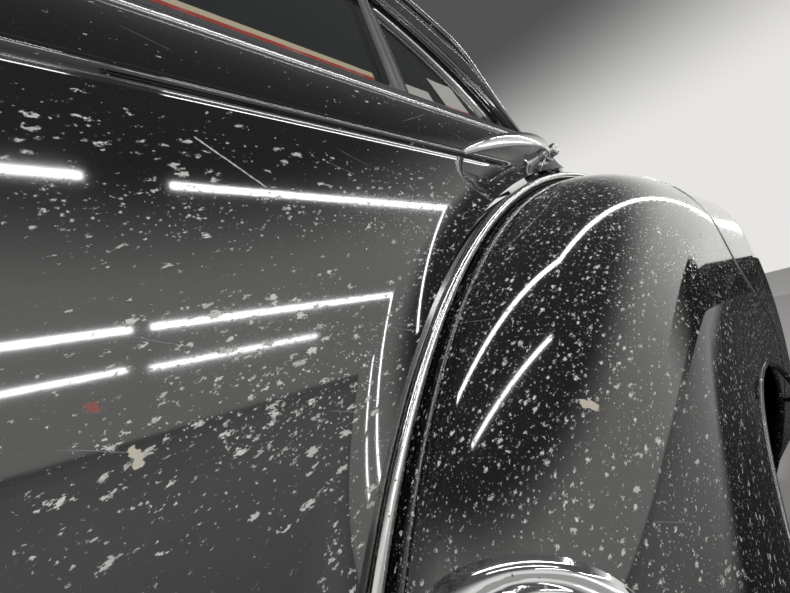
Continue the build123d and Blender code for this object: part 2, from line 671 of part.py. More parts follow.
# Stone guard on the fender's front, with a rounded top
with BuildPart() as stone_guard:
    with BuildSketch(TOP_PLANE) as skin:
        with BuildLine():
            fender_curve(FENDER_R, OPENING_R)
            offset(amount=GUARD_T, side=Side.LEFT)
        make_face()
    revolve(axis=WHEEL_AXIS, revolution_arc=96)
    with BuildSketch(Plane.XZ, mode=Mode.PRIVATE) as patch:
        with BuildLine():
            centre = (WHEEL_X, WHEEL_Z)
            start = math.degrees(math.asin((FENDER_BOTTOM - WHEEL_Z) / GUARD_BAND[1]))
            lowest = math.degrees(math.asin((FENDER_BOTTOM - WHEEL_Z) / GUARD_BAND[0]))
            middle = (GUARD_BAND[0] + GUARD_BAND[1]) / 2
            crown = GUARD_TOP + math.degrees((GUARD_BAND[1] - GUARD_BAND[0]) / 2 / middle)
            outer_low = on_arc(GUARD_BAND[1], 180 - start, centre)
            outer_top = on_arc(GUARD_BAND[1], 180 - GUARD_TOP, centre)
            inner_top = on_arc(GUARD_BAND[0], 180 - GUARD_TOP, centre)
            inner_low = on_arc(GUARD_BAND[0], 180 - lowest, centre)
            ThreePointArc(outer_low, on_arc(GUARD_BAND[1], 180 - GUARD_TOP / 2, centre), outer_top)
            ThreePointArc(outer_top, on_arc(middle, 180 - crown, centre), inner_top)
            ThreePointArc(inner_top, on_arc(GUARD_BAND[0], 180 - GUARD_TOP / 2, centre), inner_low)
            Line(inner_low, outer_low)
        make_face()
    add(through(patch.sketch), mode=Mode.INTERSECT)
finish(stone_guard, "stone_guard")

# Drip moulding along the quarter panel's upper edge and the roof rail
drip_in = QUARTER_R - DRIP_W
with BuildPart() as drip_moulding:
    add(leaning_slab(-DRIP_W, DRIP_W, ROOF_ARC[1] + DOOR_TOP_R / 2, RAIL_HIGH, POST_X, TURN_X))
    with BuildSketch(Plane.XZ, mode=Mode.PRIVATE) as strip:
        with BuildLine():
            Polyline((POST_X, RAIL_TOP), (POST_X, RAIL_TOP - DRIP_W), (ROOF_ARC[0], RAIL_TOP - DRIP_W))
            ThreePointArc((ROOF_ARC[0], RAIL_TOP - DRIP_W), on_arc(drip_in, 60), on_arc(drip_in, DRIP_END))
            Line(on_arc(drip_in, DRIP_END), on_arc(QUARTER_R, DRIP_END))
            ThreePointArc(on_arc(QUARTER_R, DRIP_END), on_arc(QUARTER_R, 60), (ROOF_ARC[0], RAIL_TOP))
            Line((ROOF_ARC[0], RAIL_TOP), (POST_X, RAIL_TOP))
        make_face()
    add(through(strip.sketch), mode=Mode.INTERSECT)
finish(drip_moulding, "drip_moulding")

# Hinges: leaf and middle knuckle on the post, two knuckles and a leaf on the door, one pin
for name, z in zip(("lower", "upper"), HINGE_ZS):
    third = HINGE_TALL / 3
    with BuildPart() as post_leaf:
        with BuildSketch(Plane.XY.offset(z - third / 2)):
            with Locations((HINGE_X, HINGE_Y)):
                Circle(KNUCKLE_R)
            with Locations((HINGE_X - 14, (HINGE_Y + SILL_OUT_Y) / 2 + 1)):
                Rectangle(16, SILL_OUT_Y - HINGE_Y + 2)
            with Locations((HINGE_X, HINGE_Y)):
                Circle(PIN_R, mode=Mode.SUBTRACT)
        extrude(amount=third)
        with BuildSketch(Plane.XY.offset(z - HINGE_TALL / 2)):
            with Locations((HINGE_X - 32, SILL_OUT_Y - 2)):
                Rectangle(52, 4)
        extrude(amount=HINGE_TALL)
        add(centre_post.part, mode=Mode.SUBTRACT)
    finish(post_leaf, f"post_leaf_{name}")
    with BuildPart() as door_leaf:
        for low in (z - HINGE_TALL / 2, z + third / 2 + 0.5):
            with BuildSketch(Plane.XY.offset(low)):
                with Locations((HINGE_X, HINGE_Y)):
                    Circle(KNUCKLE_R)
                with Locations((HINGE_X + 6, HINGE_Y)):
                    Rectangle(12, 6)
                with Locations((HINGE_X, HINGE_Y)):
                    Circle(PIN_R, mode=Mode.SUBTRACT)
            extrude(amount=third - 0.5)
        with BuildSketch(Plane.XY.offset(z - HINGE_TALL / 2)):
            with Locations((DOOR_FRONT - 2, -47)):
                Rectangle(4, 36)
        extrude(amount=HINGE_TALL)
    finish(door_leaf, f"door_leaf_{name}")
    with BuildPart() as hinge_pin:
        with BuildSketch(Plane.XY.offset(z - HINGE_TALL / 2 - 2)):
            with Locations((HINGE_X, HINGE_Y)):
                Circle(PIN_R)
        extrude(amount=HINGE_TALL + 4)
    finish(hinge_pin, f"hinge_pin_{name}")

# Striker on the rear pillar, facing the latch
with BuildPart() as striker:
    with BuildSketch(Plane.YZ.offset(ROOF_ARC[0] + DOOR_TOP_R + SHUT_GAP + 8)):
        with Locations((-36, 698)):
            Rectangle(20, 34)
    extrude(amount=-2)
    with BuildSketch(Plane.YZ.offset(ROOF_ARC[0] + DOOR_TOP_R + SHUT_GAP + 6)):
        with Locations((-36, 698)):
            Circle(5)
    extrude(amount=-6)
finish(striker, "striker")

# Tail lamp on the end cap: bezel and lens
with BuildPart() as lamp_bezel:
    with BuildSketch(Plane.YZ.offset(TAIL_X)):
        with Locations(LAMP):
            Circle(34)
            Circle(28, mode=Mode.SUBTRACT)
    extrude(amount=16)
    chamfer(lamp_bezel.faces().sort_by(Axis.X)[-1].edges(), 2)
finish(lamp_bezel, "lamp_bezel")

with BuildPart() as lamp_lens:
    with BuildSketch(Plane.YZ.offset(TAIL_X)):
        with Locations(LAMP):
            Circle(28)
    extrude(amount=22)
    chamfer(lamp_lens.faces().sort_by(Axis.X)[-1].edges(), 6)
finish(lamp_lens, "lamp_lens")
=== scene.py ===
# %% [markdown]
# # The rear side of a black hot rod sedan
#
# The solid parts arrive from the frame, in metres, in their real places. This script dresses
# them: it lays smooth painted skins over the door and the fender, shapes the bright trim, and
# gives every piece a procedural material. Each step says what the piece is on the real car.

# %% The frame and its box
import math

import bpy
import numpy as np
from mathutils import Matrix


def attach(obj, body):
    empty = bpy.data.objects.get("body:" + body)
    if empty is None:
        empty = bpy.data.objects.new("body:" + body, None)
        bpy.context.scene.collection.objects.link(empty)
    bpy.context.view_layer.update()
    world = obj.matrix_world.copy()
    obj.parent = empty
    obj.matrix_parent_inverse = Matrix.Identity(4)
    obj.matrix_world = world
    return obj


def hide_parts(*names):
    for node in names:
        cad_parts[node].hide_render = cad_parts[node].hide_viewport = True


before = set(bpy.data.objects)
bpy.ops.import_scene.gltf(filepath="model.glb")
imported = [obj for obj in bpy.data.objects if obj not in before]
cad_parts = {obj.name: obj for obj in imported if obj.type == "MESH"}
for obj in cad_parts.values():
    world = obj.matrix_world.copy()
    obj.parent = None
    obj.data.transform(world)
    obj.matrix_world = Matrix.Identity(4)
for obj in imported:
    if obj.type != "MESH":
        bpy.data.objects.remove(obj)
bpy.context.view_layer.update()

# %% [markdown]
# ## The sizes that everything follows
#
# The fender, its bead and the door's rear edge are all arcs about the wheel centre, so most
# shapes here need only that centre and a radius. The values repeat the solid model's, in metres.

# %% Sizes of the body side
MM = 0.001
WHEEL = np.array([800.0, 43.0]) * MM
FENDER_R, BEAD_R, BEAD_W, BEAD_CROWN = 617 * MM, 620 * MM, 9 * MM, 15 * MM
DOOR_R, DOOR_FRONT, DOOR_BOTTOM = 637 * MM, -255 * MM, 62 * MM
PANEL_Y, BELT_Z, SILL_Z, SILL_Y, LEAN = -80 * MM, 655 * MM, 752 * MM, -50 * MM, 0.25
ROOF = np.array([290.0, 720.0]) * MM
DOOR_TOP_R, FRAME_W = 424 * MM, 34 * MM
SEAM_X, TAIL_X, DROP, FLOOR_Z = 1020 * MM, 1500 * MM, 173 * MM, 20 * MM
OPENING_R = 288 * MM
FENDER_OUT, FENDER_WALL = 129.7 * MM, 4.5 * MM
SKIN = 0.5 * MM            # a painted skin lies this far outside its solid
TAIL_R = ((TAIL_X - SEAM_X) ** 2 + DROP**2) / (2 * DROP)
TAIL = np.array([SEAM_X, WHEEL[1] + FENDER_R - TAIL_R])
print("tail arc radius", round(TAIL_R, 4))

# %% [markdown]
# ## Turning arrays into meshes
#
# Every new surface is a grid of points: a function of two parameters, worked out by numpy as one
# array. A grid joins its points with four-sided faces. Where a side of the grid closes on
# itself, as round a tube, the last row is joined to the first.

# %% Grid helper
def surface(name, points, wrap=False, flip=False, wall=0.0, body="body_side", stands_for=()):
    """A mesh object from an (m, n, 3) array. wrap joins the last column to the first. wall
    gives the sheet a thickness inward."""
    m, n = points.shape[:2]
    index = np.arange(m * n).reshape(m, n)
    if wrap:
        index = np.hstack([index, index[:, :1]])
    corners = [index[:-1, :-1], index[1:, :-1], index[1:, 1:], index[:-1, 1:]]
    quads = np.stack(corners[::-1] if flip else corners, -1).reshape(-1, 4)
    mesh = bpy.data.meshes.new(name)
    mesh.from_pydata(points.reshape(-1, 3).tolist(), [], quads.tolist())
    mesh.shade_smooth()
    piece = bpy.data.objects.new(name, mesh)
    bpy.context.scene.collection.objects.link(piece)
    if wall:
        shell = piece.modifiers.new("wall", "SOLIDIFY")
        shell.thickness = wall
        shell.offset = -1
    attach(piece, body)
    for solid in stands_for:
        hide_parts(solid)
    return piece


def circle_through(a, b, c):
    """Centre and radius of the circle through three points of a plane."""
    a, b, c = (np.asarray(p, float) for p in (a, b, c))
    rows = 2 * np.array([b - a, c - a])
    centre = np.linalg.solve(rows, [b @ b - a @ a, c @ c - a @ a])
    return centre, np.linalg.norm(a - centre)


# %% [markdown]
# ## The body side in section
#
# Seen from the front, the side of the car is a gentle bulge up to the belt, a tighter round
# shoulder, and then the leaning plane of the windows. Each part is an arc or a line, so the
# height z alone gives how far out the skin stands.

# %% Section of the side
LOW_ARC = circle_through((-62 * MM, 52 * MM), (-84 * MM, 380 * MM), (PANEL_Y, BELT_Z))
SHOULDER_ARC = circle_through((PANEL_Y, BELT_Z), (-72 * MM, 715 * MM), (SILL_Y, SILL_Z))


def side_y(z):
    """Y of the side at height z: the outboard half of one of two circles, or the window plane."""
    def out(arc):
        """Y on the arc: its centre less the root of radius squared less height squared."""
        (cy, cz), radius = arc
        return cy - np.sqrt(np.maximum(radius**2 - (z - cz) ** 2, 0))
    plane = SILL_Y + LEAN * (z - SILL_Z)
    return np.where(z < BELT_Z, out(LOW_ARC), np.where(z < SILL_Z, out(SHOULDER_ARC), plane))


print("skin at mid door", round(float(side_y(np.array(0.4))), 4))

# %% [markdown]
# ## The door skin
#
# The skin carries two pressed details. The belt bead is a low ridge under the window.
# The flare is a lip that lifts the skin towards the fender's arc. Both are added to the section
# as functions of the place, so one height field holds the whole skin. Its grid runs from the
# hinge edge to the arc, and its last rows turn inward as the hemmed edge of the door.

# %% Door skin
BELT_MID, BELT_HALF, BELT_PROUD = 664.7 * MM, 4.75 * MM, 4.5 * MM
RIDGE_R, RIDGE_SOFT = 18 * MM, 9 * MM            # where the belt bead turns, and how softly
FADE_Z, FADE_TALL = 628 * MM, 24 * MM            # the turned bead runs out over this height
LIP_W, LIP_H, LIP_Y = 30 * MM, 8.5 * MM, -91 * MM    # the flare's width, least height and edge
FLARE_W, FLARE_H = 50 * MM, 10 * MM              # the flare of the solid under the skin
BLEND = 1.2 * MM                                 # rounds the corner between the two flares
FLARE_ARC = circle_through(
    (PANEL_Y + 2 * MM, DOOR_R + FLARE_W),
    (PANEL_Y - FLARE_H / 4, DOOR_R + 0.4 * FLARE_W),
    (PANEL_Y - FLARE_H, DOOR_R),
)
HEM_REAR = [[[0.6, 1.2, 0], [0.6, 12, 0], [-4, 12.5, 0]]]
HEM_FRONT = [[[4, 12.5, 0], [-0.5, 12, 0], [-0.5, 1.2, 0]]]


def lip(t):
    """How much of the flare's height is left at t, from 0 at the door's edge to 1 where the flare
    begins. It is steepest at the edge and runs out flat."""
    return np.maximum(1 - t, 0) ** 2


def smooth_max(a, b, k):
    """The larger of a and b, with the corner where they cross rounded over a width of k."""
    return np.maximum(a, b) + np.maximum(k - np.abs(a - b), 0) ** 2 / (4 * k)


def skin_y(x, z):
    """Y of the pressed skin: the section, less the height of the flare near the fender, less a
    flat topped ridge where a distance field is near zero. The field is the larger of the height
    over the belt and the depth inside an arc beside the fender, so the ridge runs along the belt
    and ends in a tight turn. The skin never sinks under the solid's own flare."""
    y = side_y(z)
    near = np.hypot(x - WHEEL[0], z - WHEEL[1]) - DOOR_R
    rise = np.maximum(LIP_H, y - LIP_Y) * lip(np.clip(near / LIP_W, 0, 1))
    away = smooth_max(z - BELT_MID, RIDGE_R - near, RIDGE_SOFT) / BELT_HALF
    fade = np.where(z > BELT_MID - 6 * MM, 1, np.clip((z - FADE_Z) / FADE_TALL, 0, 1))
    bead = BELT_PROUD * np.maximum(1 - np.abs(away) ** 3, 0) ** 0.6 * fade
    raised = y - rise - bead * (1 - 0.5 * (near < RIDGE_R))
    (cy, cr), radius = FLARE_ARC
    arc = cy + np.sqrt(np.maximum(radius**2 - (near + DOOR_R - cr) ** 2, 0))
    under = np.where(near < FLARE_W, arc, y + BLEND)
    return -smooth_max(-raised, -under, BLEND) - SKIN


def door_rear_x(z):
    """X of the door's rear edge: the fender's arc, then upright, then the roof's arc."""
    fender = WHEEL[0] - np.sqrt(np.maximum(DOOR_R**2 - (z - WHEEL[1]) ** 2, 0))
    roof = ROOF[0] + np.sqrt(np.maximum(DOOR_TOP_R**2 - np.maximum(z - ROOF[1], 0) ** 2, 0))
    return np.minimum(fender, roof)


heights = np.unique(np.concatenate([
    np.linspace(DOOR_BOTTOM, 560 * MM, 110),
    np.linspace(560 * MM, BELT_MID - 1.1 * BELT_HALF, 80),
    np.linspace(BELT_MID - 1.02 * BELT_HALF, BELT_MID + 1.02 * BELT_HALF, 17),
    np.linspace(BELT_MID + 1.1 * BELT_HALF, 758 * MM, 44),
]))
across = 1 - (1 - np.linspace(0, 1, 260)) ** 1.6          # closer together towards the flare
z = np.repeat(heights[:, None], len(across), 1)
x = DOOR_FRONT + (door_rear_x(z) - DOOR_FRONT) * across
face = np.stack([x, skin_y(x, z), z], -1)
hems = face[:, :1] + np.array(HEM_FRONT) * MM, face[:, -1:] + np.array(HEM_REAR) * MM
door_skin = surface("door_skin", np.concatenate([hems[0], face, hems[1]], 1), body="door",
                    flip=True)
print("door skin", face.shape)

# %% [markdown]
# ## The camera and the room
#
# The photograph is taken from a hand's breadth outside the door with a very wide lens, looking
# to the rear. A camera object could be turned by angles, but its matrix is clearer here: its
# three columns are the directions that the camera calls right, up and back.

# %% Camera
RIGHT, UP, BACK = (0.7683, -0.5821, -0.2663), (0.1070, -0.2933, 0.9500), (-0.6311, -0.7584, -0.1631)
EYE, LENS_MM = (0.170, -0.280, 0.473), 15.72
measured = np.array([RIGHT, UP, BACK]).T
basis = np.eye(4)
basis[:3, :3] = np.linalg.qr(measured)[0]
basis[:3, :3] *= np.sign((basis[:3, :3] * measured).sum(0))
basis[:3, 3] = EYE
camera = bpy.data.objects.new("camera", bpy.data.cameras.new("camera"))
camera.data.lens = LENS_MM
camera.data.sensor_width = 36
camera.data.clip_start = 0.01
camera.matrix_world = Matrix(basis.tolist())
bpy.context.scene.collection.objects.link(camera)
bpy.context.scene.camera = camera
print("camera at", basis[:3, 3])

# %% [markdown]
# ## Building shaders from code
#
# A material is a graph of nodes. A few helpers keep that short: `node` adds one node and fills
# its sockets with numbers or with links, and `group` opens a node group with named sockets, so
# that an effect such as paint chips is made once and used with other values in each material.

# %% Node helpers
def fill(made, **sockets):
    """Sets or links sockets. One is named by its label, with _ for a space, or as _0, _1 by its
    place."""
    for key, value in sockets.items():
        place = key[1:]
        socket = made.inputs[int(place)] if place.isdigit() else made.inputs[key.replace("_", " ")]
        if isinstance(value, bpy.types.NodeSocket):
            made.id_data.links.new(value, socket)
        else:
            socket.default_value = value
    return made


def node(tree, kind, props=None, **sockets):
    """Adds a node, sets its properties and fills its sockets."""
    made = tree.nodes.new(kind)
    for key, value in (props or {}).items():
        setattr(made, key, value)
    return fill(made, **sockets)


def maths(tree, operation, *values, clamp=False):
    """One Math node and its output."""
    made = node(tree, "ShaderNodeMath", {"operation": operation, "use_clamp": clamp},
                **{f"_{i}": v for i, v in enumerate(values)})
    return made.outputs[0]


def vector(tree, operation, *values):
    """One Vector Math node and its output, a number for a dot product or a distance."""
    made = node(tree, "ShaderNodeVectorMath", {"operation": operation},
                **{f"_{i}": v for i, v in enumerate(values) if v is not None})
    return made.outputs["Value" if operation in ("DOT_PRODUCT", "DISTANCE") else "Vector"]


def noise(tree, place, scale, detail, rough=0.5, out="Fac"):
    """One Noise texture and its grey output, or its Color."""
    return node(tree, "ShaderNodeTexNoise", Vector=place, Scale=scale, Detail=detail,
                Roughness=rough).outputs[out]


def turned_y(tree, place, angle):
    """The place turned about the Y axis."""
    return node(tree, "ShaderNodeVectorRotate", {"rotation_type": "Y_AXIS"}, Vector=place,
                Angle=angle).outputs[0]


def height_of(tree, place):
    """The Z part of a place."""
    return node(tree, "ShaderNodeSeparateXYZ", Vector=place).outputs["Z"]


def ramp(tree, value, low, high, to_low=0.0, to_high=1.0):
    """Value from low..high to to_low..to_high, smooth at both ends."""
    made = node(tree, "ShaderNodeMapRange", {"interpolation_type": "SMOOTHSTEP"}, Value=value,
                From_Min=low, From_Max=high, To_Min=to_low, To_Max=to_high)
    return made.outputs["Result"]


def blend_colour(tree, factor, a, b):
    """Colour a where factor is 0 and b where it is 1."""
    a, b = (v if isinstance(v, bpy.types.NodeSocket) else (*v, 1.0) for v in (a, b))
    return node(tree, "ShaderNodeMix", {"data_type": "RGBA"}, _0=factor, _6=a, _7=b).outputs[2]


def bump(tree, height, distance):
    """A Bump node's normal for a height in units of distance, in metres."""
    return node(tree, "ShaderNodeBump", Height=height, Distance=distance, Strength=1.0).outputs[0]


def group(name, ins, outs):
    """An empty node group, its inputs as sockets and its output node. ins and outs map a socket
    name to Float, Vector or Color and a default."""
    tree = bpy.data.node_groups.new(name, "ShaderNodeTree")
    for sockets, side in ((ins, "INPUT"), (outs, "OUTPUT")):
        for label, (kind, default) in sockets.items():
            made = tree.interface.new_socket(label, in_out=side, socket_type="NodeSocket" + kind)
            if default is not None:
                made.default_value = default
    return tree, tree.nodes.new("NodeGroupInput").outputs, tree.nodes.new("NodeGroupOutput")


def use(tree, made, **sockets):
    """Places a finished group in a material."""
    return node(tree, "ShaderNodeGroup", {"node_tree": made}, **sockets)


print("helpers ready")

# %% [markdown]
# ## Chipped paint
#
# The old black paint has lost hundreds of small flakes. A Voronoi texture gives every cell of
# space one centre and one random colour. A cell whose random number is under the share gets a
# chip: all points nearer to the centre than that cell's own radius. Noise bends the place first,
# so the flakes have torn outlines, and a slow noise thins them out in some areas.

# %% Group: paint chips
FLOAT, PLACE = ("Float", None), ("Vector", None)


def chips_group():
    """Mask 1 in a chip, Shade random per chip, Height 0 on paint and -1 in a chip. A chip's
    radius is 0.24 h^2.4 + 0.12 of a cell for the cell's random h, plus noise for its edge."""
    tree, given, put = group(
        "paint_chips",
        {"Place": PLACE, "Size": ("Float", 0.008), "Share": ("Float", 0.4), "Turn": ("Float", 0.7),
         "Squeeze": ("Float", 0.5)},
        {"Mask": FLOAT, "Shade": FLOAT, "Height": FLOAT},
    )
    squeeze = node(tree, "ShaderNodeCombineXYZ", X=given["Squeeze"], Y=1.0, Z=1.0).outputs[0]
    place = vector(tree, "MULTIPLY", turned_y(tree, given["Place"], given["Turn"]), squeeze)
    place = vector(tree, "SCALE", place, None, None, maths(tree, "DIVIDE", 1.0, given["Size"]))
    tear = vector(tree, "SUBTRACT", noise(tree, place, 2.2, 4.0, 0.72, "Color"), (0.5, 0.5, 0.5))
    torn = vector(tree, "MULTIPLY_ADD", tear, (1.5, 1.5, 1.5), place)
    cells = node(tree, "ShaderNodeTexVoronoi", Vector=torn, Scale=1.0).outputs
    size, chance, shade = node(tree, "ShaderNodeSeparateColor", Color=cells["Color"]).outputs[:3]
    thinned = ramp(tree, noise(tree, given["Place"], 9.0, 2.0), 0.34, 0.62, 0.7, 1.2)
    there = maths(tree, "LESS_THAN", chance, maths(tree, "MULTIPLY", given["Share"], thinned))
    radius = maths(tree, "MULTIPLY_ADD", maths(tree, "POWER", size, 2.4), 0.24, 0.12)
    edge = maths(tree, "MULTIPLY_ADD", noise(tree, place, 7.0, 3.0, 0.7), 0.42, -0.21)
    inside = maths(tree, "SUBTRACT", maths(tree, "ADD", radius, edge), cells["Distance"])
    mask = maths(tree, "MULTIPLY", ramp(tree, inside, -0.04, 0.06), there)
    fill(put, Mask=mask, Shade=shade, Height=maths(tree, "MULTIPLY", mask, -1.0))
    return tree


PAINT_CHIPS = chips_group()
print("group", PAINT_CHIPS.name)

# %% [markdown]
# ## Scratches and dust
#
# A scratch is a chip stretched until it is a line, so the same trick works on a squeezed space:
# few, long cells, each with a thin streak in it. Dust is only fine noise, cut at a threshold. It
# changes the gloss more than the colour, which is why a dusty car still mirrors the room.

# %% Groups: scratches, dust and single marks
def scratches_group():
    """Mask 1 on thin streaks along the turned X axis. A cell is Length long and a sixteenth of
    that tall."""
    tree, given, put = group(
        "scratches",
        {"Place": PLACE, "Length": ("Float", 0.09), "Share": ("Float", 0.15),
         "Turn": ("Float", 0.0)},
        {"Mask": FLOAT},
    )
    turned = turned_y(tree, given["Place"], given["Turn"])
    wander = (0.004, 0.004, 0.004)
    bent = vector(tree, "MULTIPLY_ADD", noise(tree, turned, 30.0, 1.0, out="Color"), wander, turned)
    along = maths(tree, "DIVIDE", 1.0, given["Length"])
    wide = maths(tree, "MULTIPLY", along, 16.0)
    scale = node(tree, "ShaderNodeCombineXYZ", X=along, Y=along, Z=wide).outputs[0]
    place = vector(tree, "MULTIPLY", bent, scale)
    cells = node(tree, "ShaderNodeTexVoronoi", Vector=place, Scale=1.0).outputs
    chance = node(tree, "ShaderNodeSeparateColor", Color=cells["Color"]).outputs[1]
    offset = vector(tree, "SUBTRACT", place, cells["Position"])
    parts = node(tree, "ShaderNodeSeparateXYZ", Vector=offset).outputs
    line = ramp(tree, maths(tree, "ABSOLUTE", parts["Z"]), 0.075, 0.03)
    ends = ramp(tree, maths(tree, "ABSOLUTE", parts["X"]), 0.42, 0.25)
    there = maths(tree, "LESS_THAN", chance, given["Share"])
    fill(put, Mask=maths(tree, "MULTIPLY", maths(tree, "MULTIPLY", line, ends), there))
    return tree


def dust_group():
    """Masks of fine Specks and of soft patches, the Film, from 0 to Amount."""
    tree, given, put = group(
        "dust", {"Place": PLACE, "Amount": ("Float", 0.4), "Grain": ("Float", 900.0)},
        {"Specks": FLOAT, "Film": FLOAT},
    )
    specks = ramp(tree, noise(tree, given["Place"], given["Grain"], 2.0), 0.66, 0.72)
    film = ramp(tree, noise(tree, given["Place"], 9.0, 5.0), 0.35, 0.75)
    fill(put, Specks=maths(tree, "MULTIPLY", specks, given["Amount"]),
         Film=maths(tree, "MULTIPLY", film, given["Amount"]))
    return tree


def mark_group():
    """Mask 1 within Width of the line from Start to End, seen from the side, with a ragged edge.
    The nearest point of the line is at the share (p - start).(end - start) / length squared."""
    tree, given, put = group(
        "single_mark", {"Place": PLACE, "Start": PLACE, "End": PLACE, "Width": ("Float", 0.001)},
        {"Mask": FLOAT},
    )
    place, start, end = (vector(tree, "MULTIPLY", given[n], (1, 0, 1))
                         for n in ("Place", "Start", "End"))
    run, here = vector(tree, "SUBTRACT", end, start), vector(tree, "SUBTRACT", place, start)
    along = maths(tree, "DIVIDE", vector(tree, "DOT_PRODUCT", here, run),
                  vector(tree, "DOT_PRODUCT", run, run), clamp=True)
    off = vector(tree, "DISTANCE", here, vector(tree, "SCALE", run, None, None, along))
    torn = maths(tree, "MULTIPLY_ADD", noise(tree, given["Place"], 420.0, 3.0), 2.4, -0.4)
    reach = maths(tree, "MAXIMUM", maths(tree, "MULTIPLY", given["Width"], torn), 0.00005)
    fill(put, Mask=ramp(tree, maths(tree, "DIVIDE", off, reach), 1.15, 0.85))
    return tree


SCRATCHES, DUST, MARK = scratches_group(), dust_group(), mark_group()
print("groups", [g.name for g in bpy.data.node_groups])

# %% [markdown]
# ## The paint
#
# Gloss black is almost all reflection. Its base is nearly black and smooth, and the chips show a
# pale grey primer that is dull. One set of masks drives colour, roughness and bump together, so
# each flake is pale, matt and a little hollow at once.

# %% Material: black paint
def new_material(name):
    """A material with its node tree, its Principled shader and the Object coordinates."""
    made = bpy.data.materials.new(name)
    made.use_nodes = True
    tree = made.node_tree
    place = tree.nodes.new("ShaderNodeTexCoord").outputs["Object"]
    return made, tree, tree.nodes["Principled BSDF"], place


# start, end, half width, colour: a long scratch, a rubbed spot, a bare flake
DOOR_MARKS = [
    ((0.2186, 0, 0.6289), (0.2539, 0, 0.5992), 0.0006, (0.62, 0.61, 0.57)),
    ((0.1585, 0, 0.4862), (0.1592, 0, 0.4856), 0.0026, (0.30, 0.10, 0.08)),
    ((0.1700, 0, 0.4640), (0.1712, 0, 0.4580), 0.0022, (0.66, 0.62, 0.50)),
]
FENDER_MARKS = [((0.3745, 0, 0.4172), (0.3775, 0, 0.4148), 0.0030, (0.62, 0.56, 0.46))]
# cell size in metres, part of the share, turn and squeeze of each size of chip
CHIP_LAYERS = [(0.0055, 0.60, 0.15, 0.5), (0.0038, 0.56, 0.4, 0.5), (0.0021, 0.40, 0.2, 0.8)]
SCRATCH_LAYERS = [(0.10, 0.003, 0.5), (0.04, 0.008, -0.4)]          # length, share, turn
BLACK, SPECK, SCRATCH = (0.0035, 0.0035, 0.0045), (0.24, 0.24, 0.24), (0.34, 0.35, 0.36)
PRIMER_DARK, PRIMER_PALE = (0.54, 0.53, 0.50), (0.84, 0.83, 0.79)


def black_paint(name, share, dust, marks=(), fine=1.0):
    """Gloss black with chips in three sizes, scratches and dust. share is how many cells are
    chipped low on the car. Above the belt a tenth of that is left. fine scales the chips."""
    made, tree, shader, place = new_material(name)
    part_left = ramp(tree, height_of(tree, place), 0.55, 0.675, share, share * 0.10)
    layers = [use(tree, PAINT_CHIPS, Place=place, Size=size * fine, Turn=turn, Squeeze=squeeze,
                  Share=maths(tree, "MULTIPLY", part_left, part)).outputs
              for size, part, turn, squeeze in CHIP_LAYERS]
    mask = layers[0]["Mask"]
    for layer in layers[1:]:
        mask = maths(tree, "MAXIMUM", mask, layer["Mask"])
    lines = [use(tree, SCRATCHES, Place=place, Length=length, Share=part, Turn=turn).outputs[0]
             for length, part, turn in SCRATCH_LAYERS]
    scratched = maths(tree, "MAXIMUM", *lines)
    dusty = use(tree, DUST, Place=place, Amount=dust).outputs
    primer = blend_colour(tree, layers[0]["Shade"], PRIMER_DARK, PRIMER_PALE)
    colour = blend_colour(tree, maths(tree, "MULTIPLY", dusty["Specks"], 0.5), BLACK, SPECK)
    colour = blend_colour(tree, maths(tree, "MULTIPLY", scratched, 0.6), colour, SCRATCH)
    colour = blend_colour(tree, mask, colour, primer)
    for start, end, width, tone in marks:
        spot = use(tree, MARK, Place=place, Start=start, End=end, Width=width).outputs[0]
        colour = blend_colour(tree, spot, colour, tone)
        mask = maths(tree, "MAXIMUM", mask, spot)
    worn = maths(tree, "MAXIMUM", mask, maths(tree, "MULTIPLY", scratched, 0.5))
    haze = maths(tree, "MULTIPLY_ADD", dusty["Film"], 0.10, 0.045)
    hollow = maths(tree, "MULTIPLY", worn, -1.0)
    orange_peel = maths(tree, "MULTIPLY_ADD", noise(tree, place, 160.0, 1.0), 0.05, hollow)
    fill(shader, Base_Color=colour, Normal=bump(tree, orange_peel, 0.00012),
         Roughness=maths(tree, "MAXIMUM", haze, maths(tree, "MULTIPLY", worn, 0.75)),
         Coat_Weight=maths(tree, "SUBTRACT", 1.0, mask, clamp=True),
         Coat_Roughness=0.05, Coat_IOR=1.6, IOR=1.8)
    return made


DOOR_PAINT = black_paint("black_paint_door", 0.95, 0.35, DOOR_MARKS)
FENDER_PAINT = black_paint("black_paint_fender", 0.85, 0.35, FENDER_MARKS, 0.68)
CALM_PAINT = black_paint("black_paint_calm", 0.3, 0.25)
print("paints", DOOR_PAINT.name, FENDER_PAINT.name, CALM_PAINT.name)

# %% [markdown]
# ## Bright metal, rubber, glass and the inside finishes
#
# Chrome is a mirror with small faults: pits let the nickel and rust through, and fine wiping
# marks blur it. Rubber is matt with a bloom. Glass needs Transmission and a little surface dust.
# The inside has satin paint and a grained board, and the wheelhouse has a lumpy black underseal.

